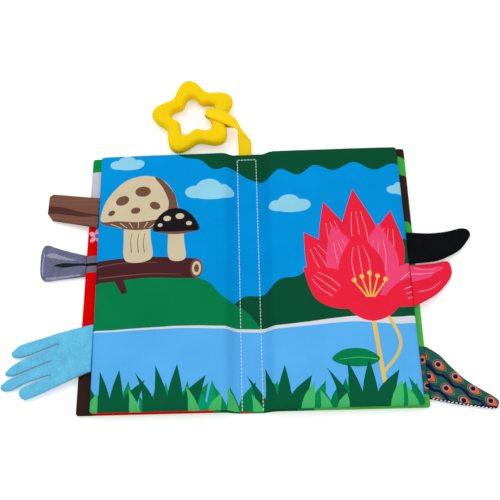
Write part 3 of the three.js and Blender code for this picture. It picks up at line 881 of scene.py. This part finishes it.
# The front prints of the tails: x from the root and y across it, in millimetres
TAIL_ARTWORK = {
    "brown_tail": brown_tail_artwork,
    "grey_tail": grey_tail_artwork,
    "pink_tail": pink_tail_artwork,
    "peacock_tail": peacock_tail_artwork,
}


def build_tail(name):
    leaf, reach, root, up, droop, runs = TAILS[name]
    base, surface, slot, fill = TAIL_LOOKS[name]
    side, level = LEAVES[leaf][:2]
    root_reach = max(reach_at(leaf, up - root / 2), reach_at(leaf, up + root / 2))
    pivot_x = side * (LEAF_X + root_reach + TAIL_PIVOT)
    pivot_z = LEAF_PITCH * level + LEAF_HALF
    turn = math.radians(droop)
    seed = 1.7 * len(name) + reach

    def place(x, y, swell, sides, away):
        outer = x + TAIL_START
        half = TAIL_HALF + TAIL_RIPPLE * ripple(x, y, 17, seed) * np.clip(away / 4, 0, 1)
        half = half * (0.35 + 0.65 * ease(outer / 1.8))
        height = swell * half + TAIL_RIPPLE * ripple(x, y * 0.6, 19, seed + 3) * ease(outer / 18)
        across = outer * math.cos(turn) + height * math.sin(turn)
        z = pivot_z - outer * math.sin(turn) + height * math.cos(turn)
        return np.stack([pivot_x + side * across, up + y, np.maximum(z, TAIL_LOWEST)], 1)

    art = TAIL_ARTWORK[name]() if name in TAIL_ARTWORK else []
    outline = tail_outline(reach, root, runs)
    piece = pad(name, outline, lambda x: x < 0.3, (art, []), (base, base), place, TAIL_SHAPE)
    finish(piece, name, surface, slot, name + "_front_fabric", name + "_back_fabric")


# Spine, stitching, teether and ribbon


def slab(name, height, bottom, top, spacing, front, bases, dome):
    """Two layers of cloth laid flat from fold to fold, joined at their rim."""
    outline = rectangle(-FOLD_X, -height / 2, FOLD_X, height / 2)
    points, faces, front_of, _ = cut_cloth(outline, spacing, front, (), rim=(SLAB_EDGE,))
    flat, joined, sides = two_sides(points, faces)
    away = edge_distance(flat[:, :2], outline)
    flat[:, 2] = (bottom + top) / 2 + sides * (top - bottom) / 2 * np.clip(away / SLAB_EDGE, 0, 1) ** 0.5
    flat[:, 2] += (sides > 0) * dome(flat[:, 0], flat[:, 1])
    inks = [bases[0]] + [ink for ink, _ in front]
    return inked_mesh(name, flat, joined, [inks[i] for i in front_of] + [bases[1]] * len(faces))


def build_inner_spine():
    def soft(x, y):
        by_stitches = np.exp(-((np.abs(x) - STITCH_X) ** 2) / 40) * np.clip((9.5 - np.abs(x)) / 3, 0, 1)
        return 0.25 * ripple(x, y * 1.4, 12, 2.0) * by_stitches

    prints = prints_between(inner_artwork(), -12, 12)
    bases = ("sky", "sky")
    piece = slab("inner_spine_cloth", PAGE_HEIGHT, INNER_BOTTOM, INNER_TOP, 2.4, prints, bases, soft)
    nodes = ("inner_back_fabric_spine", "inner_front_fabric_spine")
    finish(piece, "spine", "printed_polyester", "inner_page_print", *nodes)


def build_cover_spine():
    prints = [box("lining_red", -12, -120, 0, 60), box("lining_green", 0, -120, 12, 60)]
    bases = ("canopy", "cover")
    piece = slab("cover_spine_cloth", COVER_HEIGHT, 0.0, COVER_TOP, 3.0, prints, bases, lambda x, y: 0 * x)
    finish(piece, "spine", "printed_polyester", "cover_print", "cover_fabric_spine", "cover_lining_spine")


def select_only(*pieces):
    bpy.ops.object.select_all(action="DESELECT")
    for piece in pieces:
        piece.hide_set(False)
        piece.select_set(True)
    bpy.context.view_layer.objects.active = pieces[0]


def stitch_places():
    """The middle and direction of each running stitch round the spine, in millimetres."""
    pitch = look().stitch_pitch / MM
    foot, head = STITCH_LEAN, -STITCH_LEAN
    corners = [(foot - STITCH_X, STITCH_BOTTOM), (head - STITCH_X, STITCH_TOP),
               (head + STITCH_X, STITCH_TOP), (foot + STITCH_X, STITCH_BOTTOM)]
    places = []
    for a, b in zip(corners, corners[1:]):
        count = max(2, round(math.dist(a, b) / pitch))
        turn = math.atan2(b[1] - a[1], b[0] - a[0])
        for k in range(count):
            t = (k + 0.5) / count
            places.append((a[0] + (b[0] - a[0]) * t, a[1] + (b[1] - a[1]) * t, turn))
    return places


def build_stitching():
    settings = look()
    bpy.ops.object.select_all(action="DESELECT")
    bpy.ops.mesh.primitive_uv_sphere_add(segments=8, ring_count=5, radius=0.5)
    stitch = bpy.context.active_object
    bpy.ops.object.mode_set(mode="EDIT")
    bpy.ops.mesh.select_all(action="SELECT")
    bpy.ops.transform.resize(value=(settings.stitch_length, settings.stitch_width, STITCH_RISE * MM))
    bpy.ops.object.mode_set(mode="OBJECT")
    bpy.ops.object.shade_smooth()
    copies = []
    for x, y, turn in stitch_places():
        for z in STITCH_HEIGHTS:
            mesh = stitch.data.copy()
            mesh.transform(Matrix.Translation((x * MM, y * MM, z * MM)) @ Matrix.Rotation(turn, 4, "Z"))
            copies.append(linked("stitch", mesh))
    bpy.data.objects.remove(stitch)
    select_only(*copies)
    bpy.ops.object.join()
    thread = bpy.context.active_object
    thread.name = thread.data.name = "spine_running_stitch"
    finish(thread, "spine", "spun_thread", "sewing_thread", "spine_stitching")


def build_teether():
    star = linked("silicone_star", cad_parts["star_teether"].data.copy())
    select_only(star)
    bpy.ops.object.mode_set(mode="EDIT")
    bpy.ops.mesh.select_all(action="SELECT")
    bpy.ops.mesh.remove_doubles(threshold=0.00001)
    flat_enough = math.radians(60)
    bpy.ops.mesh.tris_convert_to_quads(face_threshold=flat_enough, shape_threshold=flat_enough)
    bpy.ops.mesh.normals_make_consistent(inside=False)
    bpy.ops.object.mode_set(mode="OBJECT")
    smooth = star.modifiers.new("Smooth skin", "SUBSURF")
    smooth.levels = smooth.render_levels = look().teether_levels
    bpy.ops.object.modifier_apply(modifier=smooth.name)
    bpy.ops.object.shade_smooth()
    finish(star, "star", "moulded_silicone", "teether", "star_teether")


def smooth_rows(keys, parts):
    """Rows of edge points on smooth lines through the key rows."""
    edges = []
    for points in zip(*keys):
        edge = []
        for i in range(len(points) - 1):
            four = neighbours(points, i, False)
            edge += [tuple(between(*values, part / parts) for values in zip(*four)) for part in range(parts)]
        edges.append(edge + [points[-1]])
    return list(zip(*edges))


def strip(name, rows, thickness, columns=7):
    """A strip of cloth through rows of left and right edge points, and its length."""
    rows = [(Vector(left), Vector(right)) for left, right in rows]
    top = [left.lerp(right, k / (columns - 1)) for left, right in rows for k in range(columns)]
    corners = [r * columns + k for r in range(len(rows) - 1) for k in range(columns - 1)]
    faces = [(a, a + 1, a + 1 + columns, a + columns) for a in corners]
    mesh = bpy.data.meshes.new(name)
    mesh.from_pydata([(p * MM)[:] for p in top], [], faces)
    uv = mesh.uv_layers.new(name="cloth")
    lengths = [0.0]
    for (a, b), (c, d) in zip(rows, rows[1:]):
        lengths.append(lengths[-1] + ((a + b) / 2 - (c + d) / 2).length)
    for loop in mesh.loops:
        row, column = divmod(loop.vertex_index, columns)
        uv.data[loop.index].uv = (column * 2.0, lengths[row])
    mesh.polygons.foreach_set("use_smooth", [True] * len(faces))
    piece = linked(name, mesh)
    select_only(piece)
    solid = piece.modifiers.new("Cloth thickness", "SOLIDIFY")
    solid.thickness = thickness * MM
    solid.offset = 0
    bpy.ops.object.modifier_apply(modifier=solid.name)
    return piece, lengths[-1]


def build_ribbon():
    """One ribbon: up from the spine, folded over to the left, over the star's rim, round it and back."""
    keys = [
        # Left and right edge of the upper layer, from the spine to the fold
        ((-8.1, 116.6, 1.0), (3.6, 116.6, 1.0)),
        ((-8.0, 121.0, 3.2), (3.6, 120.6, 3.1)),
        ((-8.1, 128.4, 7.0), (3.5, 128.0, 6.0)),
        ((-8.2, 133.2, 10.3), (0.6, 132.0, 8.6)),
        ((-8.4, 136.4, 12.6), (-4.6, 138.0, 11.7)),
        # Folded over towards the star
        ((-11.4, 138.1, 14.0), (-9.3, 146.7, 13.6)),
        ((-14.9, 139.8, 14.8), (-14.5, 151.4, 14.8)),
        ((-18.5, 141.6, 15.0), (-18.1, 154.6, 15.0)),
        ((-25.2, 145.2, 15.0), (-25.0, 157.6, 15.0)),
        ((-33.0, 149.0, 14.9), (-31.8, 159.2, 14.9)),
        # Down through the star's hole and back under its rim
        ((-36.9, 151.9, 14.0), (-34.9, 160.4, 14.0)),
        ((-38.3, 154.0, 11.6), (-36.2, 161.4, 11.6)),
        ((-38.5, 156.0, 7.0), (-36.6, 163.2, 7.0)),
        ((-37.4, 156.6, 2.6), (-35.6, 163.8, 2.6)),
        ((-33.4, 154.8, 0.5), (-32.0, 163.4, 0.5)),
        ((-25.4, 150.6, 0.4), (-25.0, 161.8, 0.4)),
        ((-19.4, 147.0, 0.8), (-18.8, 158.4, 0.8)),
        # Up to the fold again, and down to the spine under the upper layer
        ((-15.0, 142.6, 7.4), (-14.6, 152.6, 7.4)),
        ((-11.2, 139.4, 11.4), (-9.2, 146.0, 11.0)),
        ((-8.2, 136.2, 11.2), (-4.4, 137.8, 10.2)),
        ((-8.0, 129.6, 6.8), (3.3, 128.6, 5.3)),
        ((-7.9, 122.0, 2.5), (3.5, 121.6, 2.3)),
        ((-8.0, 117.7, 0.4), (3.5, 117.7, 0.4)),
    ]
    piece, length = strip("satin_ribbon_loop", smooth_rows(keys, 4), RIBBON_LAYER)
    finish(piece, "ribbon", "woven_satin", "satin_ribbon", "ribbon_loop")


# Materials


def add_node(tree, kind, settings=(), links=()):
    """Adds a node, sets its properties and input values, and links its inputs to outputs."""
    node = tree.nodes.new(kind)
    for key, value in dict(settings).items():
        if isinstance(key, str) and hasattr(node, key):
            setattr(node, key, value)
        else:
            node.inputs[key].default_value = value
    for key, output in dict(links).items():
        tree.links.new(output, node.inputs[key])
    return node


def new_material(name, **inputs):
    """A material with values on its shader's sockets, whose names have underscores for spaces here."""
    surface = bpy.data.materials.new(name)
    surface.use_nodes = True
    shader = surface.node_tree.nodes["Principled BSDF"]
    for key, value in inputs.items():
        shader.inputs[key.replace("_", " ")].default_value = value
    return surface, surface.node_tree, shader


def millimetres(tree, along=1000):
    """Object coordinates in millimetres, or stretched along x where along is less than 1000."""
    places = add_node(tree, "ShaderNodeTexCoord").outputs["Object"]
    node = add_node(tree, "ShaderNodeMapping", {"Scale": (along, 1000, 1000)}, {"Vector": places})
    return node.outputs["Vector"]


def textured(tree, shader, colour, low, high, factor, height, strength, distance):
    """Multiplies a colour by a value from low to high that follows a factor, and adds bumps by a height."""
    value = add_node(tree, "ShaderNodeMapRange", {"To Min": low, "To Max": high}, {"Value": factor})
    multiply = {"data_type": "RGBA", "blend_type": "MULTIPLY", "Factor": 1.0}
    mix = add_node(tree, "ShaderNodeMix", multiply, {"A": colour, "B": value.outputs["Result"]})
    tree.links.new(mix.outputs["Result"], shader.inputs["Base Color"])
    depth = {"Strength": strength, "Distance": distance}
    bumps = add_node(tree, "ShaderNodeBump", depth, {"Height": height})
    tree.links.new(bumps.outputs["Normal"], shader.inputs["Normal"])


def pattern_with_painted_shade(tree, shader, colour, pattern, low, strength, distance):
    """Darkens a plain colour in the hollows of a pattern, a painted shade, and makes bumps by the same
    pattern.
    """
    plain = add_node(tree, "ShaderNodeRGB").outputs["Color"]
    plain.default_value = colour
    textured(tree, shader, plain, low, 1.0, pattern, pattern, strength, distance)


def printed_polyester():
    # Plain-woven polyester, printed: a fine even weave, nearly matt.
    surface, tree, shader = new_material("printed_polyester", Roughness=0.7, Specular_IOR_Level=0.02)
    places = {"Vector": millimetres(tree)}
    # The real threads are 0.3 mm apart; at 1.1 mm they can just be seen.
    threads = {}
    for number, way in enumerate("XY"):
        wave = add_node(tree, "ShaderNodeTexWave", {"Scale": 0.286, "bands_direction": way}, places)
        threads[number] = wave.outputs["Fac"]
    weave = add_node(tree, "ShaderNodeMath", {"operation": "MULTIPLY"}, threads)
    # Dye that took unevenly over about 30 mm, and slight creases of about 10 mm.
    cloudy = add_node(tree, "ShaderNodeTexNoise", {"Scale": 0.035, "Detail": 3.0, "Roughness": 0.5}, places)
    crease = {"Scale": 0.09, "Detail": 4.0, "Roughness": 0.55, "Distortion": 0.6}
    creases = add_node(tree, "ShaderNodeTexNoise", crease, places)
    both = {0: creases.outputs["Fac"], 2: weave.outputs["Value"]}
    height = add_node(tree, "ShaderNodeMath", {"operation": "MULTIPLY_ADD", 1: 7.0}, both)
    inks = add_node(tree, "ShaderNodeVertexColor", {"layer_name": "ink"}).outputs["Color"]
    textured(tree, shader, inks, 0.9, 1.1, cloudy.outputs["Fac"], height.outputs["Value"], 0.35, 0.00012)
    return surface


def mottle_with_painted_shade_and_sheen(tree, shader, fine, blotches, low, high, strength, distance):
    """Varies the inks by 0.6 of a fine noise and 0.4 of blotches, and makes bumps by the fine noise, so the
    fine noise paints shade into the bumps' hollows and sheen onto their tops.
    """
    part = add_node(tree, "ShaderNodeMath", {"operation": "MULTIPLY", 1: 0.4}, {0: blotches.outputs["Fac"]})
    links = {0: fine.outputs["Fac"], 2: part.outputs["Value"]}
    both = add_node(tree, "ShaderNodeMath", {"operation": "MULTIPLY_ADD", 1: 0.6}, links).outputs["Value"]
    inks = add_node(tree, "ShaderNodeVertexColor", {"layer_name": "ink"}).outputs["Color"]
    textured(tree, shader, inks, low, high, both, fine.outputs["Fac"], strength, distance)


def brushed_fleece():
    # Brushed knit: a soft nap with no gloss, its inks varied by painted shade and painted sheen.
    surface, tree, shader = new_material("brushed_fleece", Roughness=0.95, Specular_IOR_Level=0.1,
                                         Sheen_Weight=0.12, Sheen_Roughness=0.6)
    places = {"Vector": millimetres(tree)}
    # Nap clumps of about 1.5 mm, with painted shade between them and painted sheen on their tops.
    nap = add_node(tree, "ShaderNodeTexNoise", {"Scale": 0.65, "Detail": 4.0, "Roughness": 0.65}, places)
    # Blotches of about 7 mm, where the nap lies the other way: a painted sheen.
    nap_sheen = add_node(tree, "ShaderNodeTexNoise", {"Scale": 0.11, "Detail": 2.0, "Distortion": 0.8}, places)
    mottle_with_painted_shade_and_sheen(tree, shader, nap, nap_sheen, 0.45, 1.57, 0.5, 0.0005)
    return surface


def short_plush():
    # Short plush: pile of about 2 mm that lies away from the root, with painted shade between the tufts and
    # painted sheen on their tops.
    surface, tree, shader = new_material("short_plush", Roughness=0.9, Specular_IOR_Level=0.05)
    along = {"Vector": millimetres(tree, 300)}
    pile = add_node(tree, "ShaderNodeTexNoise", {"Scale": 0.8, "Detail": 5.0, "Roughness": 0.7}, along)
    # Blotches of about 7 mm, where the pile is pressed aside: a painted sheen.
    blotch = {"Scale": 0.14, "Detail": 2.0, "Distortion": 1.0}
    pressed_pile_sheen = add_node(tree, "ShaderNodeTexNoise", blotch, {"Vector": millimetres(tree)})
    mottle_with_painted_shade_and_sheen(tree, shader, pile, pressed_pile_sheen, 0.15, 1.87, 0.6, 0.0006)
    return surface


def woven_satin():
    # Woven satin: long floats run along the ribbon, with a fine rib across it.
    surface, tree, shader = new_material("woven_satin", Roughness=0.5, Specular_IOR_Level=0.06,
                                         Base_Color=look().ribbon_colour[:] + (1.0,))
    places = add_node(tree, "ShaderNodeUVMap", {"uv_map": "cloth"})
    # Weft ribs every 0.5 mm, drawn at 0.9 mm.
    rib = {"Scale": 0.35, "bands_direction": "Y"}
    ribs = add_node(tree, "ShaderNodeTexWave", rib, {"Vector": places.outputs["UV"]})
    height = {"Height": ribs.outputs["Fac"]}
    bumps = add_node(tree, "ShaderNodeBump", {"Strength": 0.3, "Distance": 0.0001}, height)
    tree.links.new(bumps.outputs["Normal"], shader.inputs["Normal"])
    return surface


def moulded_silicone():
    # Food-grade silicone, moulded: a soft satin skin with faint mould texture.
    surface, tree, shader = new_material("moulded_silicone", Roughness=0.58, IOR=1.41,
                                         Specular_IOR_Level=0.08, Subsurface_Weight=0.35,
                                         Subsurface_Radius=(1.0, 0.7, 0.2), Subsurface_Scale=0.004)
    colour = add_node(tree, "ShaderNodeRGB").outputs["Color"]
    colour.default_value = look().teether_colour[:] + (1.0,)
    places = {"Vector": millimetres(tree)}
    # Pigment clouds of about 16 mm, and a mould grain of 0.6 mm.
    cloudy = add_node(tree, "ShaderNodeTexNoise", {"Scale": 0.06, "Detail": 2.0}, places)
    grain = add_node(tree, "ShaderNodeTexNoise", {"Scale": 1.6, "Detail": 2.0}, places)
    textured(tree, shader, colour, 0.94, 1.06, cloudy.outputs["Fac"], grain.outputs["Fac"], 0.08, 0.0001)
    return surface


def spun_thread():
    # Spun polyester thread: twisted, matte and nearly white, with a twist drawn at 0.6 mm and painted shade
    # in its grooves.
    surface, tree, shader = new_material("spun_thread", Roughness=0.7)
    places = {"Vector": millimetres(tree)}
    twist = add_node(tree, "ShaderNodeTexWave", {"Scale": 0.5, "bands_direction": "DIAGONAL"}, places)
    pattern_with_painted_shade(tree, shader, linear("#F2F2EE"), twist.outputs["Fac"], 0.86, 0.3, 0.0001)
    return surface


def bonded_wadding():
    # Bonded polyester wadding: white, fibrous and dull, in clumps of about 1.5 mm, with painted shade
    # between the clumps.
    surface, tree, shader = new_material("bonded_wadding", Roughness=1.0)
    places = {"Vector": millimetres(tree)}
    fibre = add_node(tree, "ShaderNodeTexNoise", {"Scale": 0.7, "Detail": 5.0, "Roughness": 0.7}, places)
    pattern_with_painted_shade(tree, shader, linear("#EEEEEA"), fibre.outputs["Fac"], 0.85, 0.6, 0.0005)
    return surface


def creased_film():
    # Thin polypropylene film: glossy, and creased into facets of about 8 mm, with painted shade along the
    # creases.
    surface, tree, shader = new_material("creased_film", Roughness=0.22)
    places = {"Vector": millimetres(tree)}
    crease = add_node(tree, "ShaderNodeTexVoronoi", {"Scale": 0.12, "feature": "DISTANCE_TO_EDGE"}, places)
    pattern_with_painted_shade(tree, shader, linear("#D8DDE2"), crease.outputs["Distance"], 0.9, 0.6, 0.0008)
    return surface


def seen_rays(tree):
    """1 for the rays that show the background itself, 0 for those that carry its light."""
    path = add_node(tree, "ShaderNodeLightPath")
    seen = path.outputs["Is Camera Ray"]
    for ray in ("Is Glossy Ray", "Is Transmission Ray"):
        links = {0: seen, 1: path.outputs[ray]}
        seen = add_node(tree, "ShaderNodeMath", {"operation": "MAXIMUM"}, links).outputs["Value"]
    return seen


def white_paper():
    # Seamless studio paper: matt white; what is seen of it is lifted to white, and it keeps the shadow.
    surface, tree, shader = new_material("white_paper", Roughness=0.95, Base_Color=(0.93, 0.93, 0.93, 1),
                                         Specular_IOR_Level=0.1, Emission_Color=(1, 1, 1, 1))
    lift = add_node(tree, "ShaderNodeMath", {"operation": "MULTIPLY", 1: PAPER_LIFT}, {0: seen_rays(tree)})
    tree.links.new(lift.outputs["Value"], shader.inputs["Emission Strength"])
    return surface


MAKERS = (printed_polyester, brushed_fleece, short_plush, woven_satin, moulded_silicone, spun_thread,
          bonded_wadding, creased_film, white_paper)


def material(name):
    """The material of a name, made when it is first asked for."""
    return bpy.data.materials.get(name) or {maker.__name__: maker for maker in MAKERS}[name]()


def build_filling():
    """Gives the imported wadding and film, which stay, a finished material."""
    for node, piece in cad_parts.items():
        for ending, surface in (("_wadding", "bonded_wadding"), ("_crinkle_film", "creased_film")):
            if node.endswith(ending):
                piece.data.materials.clear()
                piece.data.materials.append(material(surface))
                piece.data.polygons.foreach_set("material_index", [0] * len(piece.data.polygons))


# Stage

# The camera that the photograph was taken with, fitted to the book's corners: its place in millimetres, the
# way it looks and the way its right side points
CAMERA_PLACE = (24.21, -241.04, 624.51)
CAMERA_FORWARD = (-0.03460, 0.38986, -0.92023)
CAMERA_RIGHT = (0.99890, -0.01566, -0.04419)
FRAME_PIXELS = 500
SENSOR_WIDTH = 36
# name: place and size in metres, power in watts
SOFTBOXES = {"key_softbox": ((-0.5, 0.75, 1.3), 1.0, 5.6), "fill_softbox": ((0.8, -0.4, 1.2), 1.2, 2.4)}


def build_floor():
    bpy.ops.object.select_all(action="DESELECT")
    bpy.ops.mesh.primitive_plane_add(size=12, location=(0, 0, -0.0002))
    floor = bpy.context.active_object
    floor.name = "floor"
    floor.data.materials.append(material("white_paper"))


def build_light(scene, light):
    world = bpy.data.worlds.new("soft_studio")
    world.use_nodes = True
    tree = world.node_tree
    background = tree.nodes["Background"]
    background.inputs["Color"].default_value = (1, 1, 1, 1)
    strengths = {"To Min": WORLD_LIGHT * light, "To Max": 1.0}
    strength = add_node(tree, "ShaderNodeMapRange", strengths, {"Value": seen_rays(tree)})
    tree.links.new(strength.outputs["Result"], background.inputs["Strength"])
    scene.world = world
    for name, (place, size, power) in SOFTBOXES.items():
        lamp = bpy.data.lights.new(name, "AREA")
        lamp.size = size
        lamp.energy = power * light
        turn = (-Vector(place)).to_track_quat("-Z", "Y").to_matrix().to_4x4()
        linked(name, lamp).matrix_world = Matrix.Translation(place) @ turn


def build_camera(scene, lens_pixels):
    camera = bpy.data.cameras.new("camera")
    camera.sensor_width = SENSOR_WIDTH
    camera.lens = lens_pixels / FRAME_PIXELS * SENSOR_WIDTH
    camera.clip_start = 0.01
    forward, right = Vector(CAMERA_FORWARD).normalized(), Vector(CAMERA_RIGHT).normalized()
    turn = Matrix((right, right.cross(forward), -forward)).transposed().to_4x4()
    holder = linked("camera", camera)
    holder.matrix_world = Matrix.Translation(Vector(CAMERA_PLACE) * MM) @ turn
    scene.camera = holder


# Settings, operators and panel


def length_setting(name, description, default, low, high):
    """A length that is given in millimetres here."""
    return FloatProperty(name=name, description=description, default=default * MM, min=low * MM,
                         max=high * MM, unit="LENGTH")


def colour_setting(name, description, colour):
    return FloatVectorProperty(name=name, description=description, default=linear(colour)[:3], min=0, max=1,
                               subtype="COLOR")


class ClothBookSettings(PropertyGroup):
    stitch_pitch: length_setting("Stitch pitch", "From one stitch of the spine to the next", 3.0, 1, 8)
    stitch_length: length_setting("Stitch length", "Length of one stitch", 2.75, 0.5, 7)
    stitch_width: length_setting("Thread width", "Width of the sewing thread", 0.75, 0.2, 2)
    ribbon_colour: colour_setting("Ribbon colour", "Colour of the satin ribbon", "#FFD80E")
    teether_colour: colour_setting("Teether colour", "Colour of the silicone teether", "#FAD402")
    teether_levels: IntProperty(name="Teether smoothing", description="Subdivision levels of the teether",
                                default=2, min=0, max=3)
    lens_pixels: FloatProperty(name="Focal length in pixels", description="For a frame of 500 pixels",
                               default=785.5, min=100, max=4000)
    light: FloatProperty(name="Light", description="Strength of the studio light", default=1.0, min=0, max=4)


class CLOTHBOOK_OT_stage(Operator):
    """Makes the floor, the soft light and the camera"""

    bl_idname = "cloth_book.stage"
    bl_label = "Stage"

    def execute(self, context):
        context.scene.view_settings.view_transform = "Standard"
        build_floor()
        build_light(context.scene, look().light)
        build_camera(context.scene, look().lens_pixels)
        return {"FINISHED"}


class CLOTHBOOK_OT_spine(Operator):
    """Makes the cloth across the spine"""

    bl_idname = "cloth_book.spine"
    bl_label = "Spine cloth"

    def execute(self, context):
        build_inner_spine()
        build_cover_spine()
        return {"FINISHED"}


class CLOTHBOOK_OT_stitching(Operator):
    """Makes the running stitches round the spine, above and below"""

    bl_idname = "cloth_book.stitching"
    bl_label = "Spine stitching"

    def execute(self, context):
        build_stitching()
        return {"FINISHED"}


class CLOTHBOOK_OT_leaves(Operator):
    """Makes the four padded leaves"""

    bl_idname = "cloth_book.leaves"
    bl_label = "Padded leaves"

    def execute(self, context):
        for name in LEAVES:
            build_leaf(name)
        return {"FINISHED"}


class CLOTHBOOK_OT_tails(Operator):
    """Makes the six tails"""

    bl_idname = "cloth_book.tails"
    bl_label = "Tails"

    def execute(self, context):
        for name in TAILS:
            build_tail(name)
        return {"FINISHED"}


class CLOTHBOOK_OT_teether(Operator):
    """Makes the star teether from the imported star, with a smooth skin"""

    bl_idname = "cloth_book.teether"
    bl_label = "Star teether"

    def execute(self, context):
        build_teether()
        return {"FINISHED"}


class CLOTHBOOK_OT_ribbon(Operator):
    """Makes the satin ribbon, folded over at the book and looped round the star's rim"""

    bl_idname = "cloth_book.ribbon"
    bl_label = "Satin ribbon"

    def execute(self, context):
        build_ribbon()
        return {"FINISHED"}


class CLOTHBOOK_OT_filling(Operator):
    """Finishes the wadding and the crinkle film inside the cloth"""

    bl_idname = "cloth_book.filling"
    bl_label = "Filling"

    def execute(self, context):
        build_filling()
        return {"FINISHED"}


OPERATORS = (CLOTHBOOK_OT_stage, CLOTHBOOK_OT_spine, CLOTHBOOK_OT_stitching, CLOTHBOOK_OT_leaves,
             CLOTHBOOK_OT_tails, CLOTHBOOK_OT_teether, CLOTHBOOK_OT_ribbon, CLOTHBOOK_OT_filling)


class CLOTHBOOK_PT_panel(Panel):
    bl_idname = "CLOTHBOOK_PT_panel"
    bl_label = "Crinkle cloth book"
    bl_space_type = "VIEW_3D"
    bl_region_type = "UI"
    bl_category = "Cloth Book"

    def draw(self, context):
        for name in ClothBookSettings.__annotations__:
            self.layout.prop(context.scene.cloth_book, name)
        for operator in OPERATORS:
            self.layout.operator(operator.bl_idname)


CLASSES = (ClothBookSettings, *OPERATORS, CLOTHBOOK_PT_panel)


def register():
    for item in CLASSES:
        bpy.utils.register_class(item)
    bpy.types.Scene.cloth_book = PointerProperty(type=ClothBookSettings)


def unregister():
    del bpy.types.Scene.cloth_book
    for item in reversed(CLASSES):
        bpy.utils.unregister_class(item)


def main():
    register()
    bpy.ops.cloth_book.stage()
    bpy.ops.cloth_book.spine()
    bpy.ops.cloth_book.stitching()
    bpy.ops.cloth_book.leaves()
    bpy.ops.cloth_book.tails()
    bpy.ops.cloth_book.teether()
    bpy.ops.cloth_book.ribbon()
    bpy.ops.cloth_book.filling()


if __name__ == "__main__":
    main()
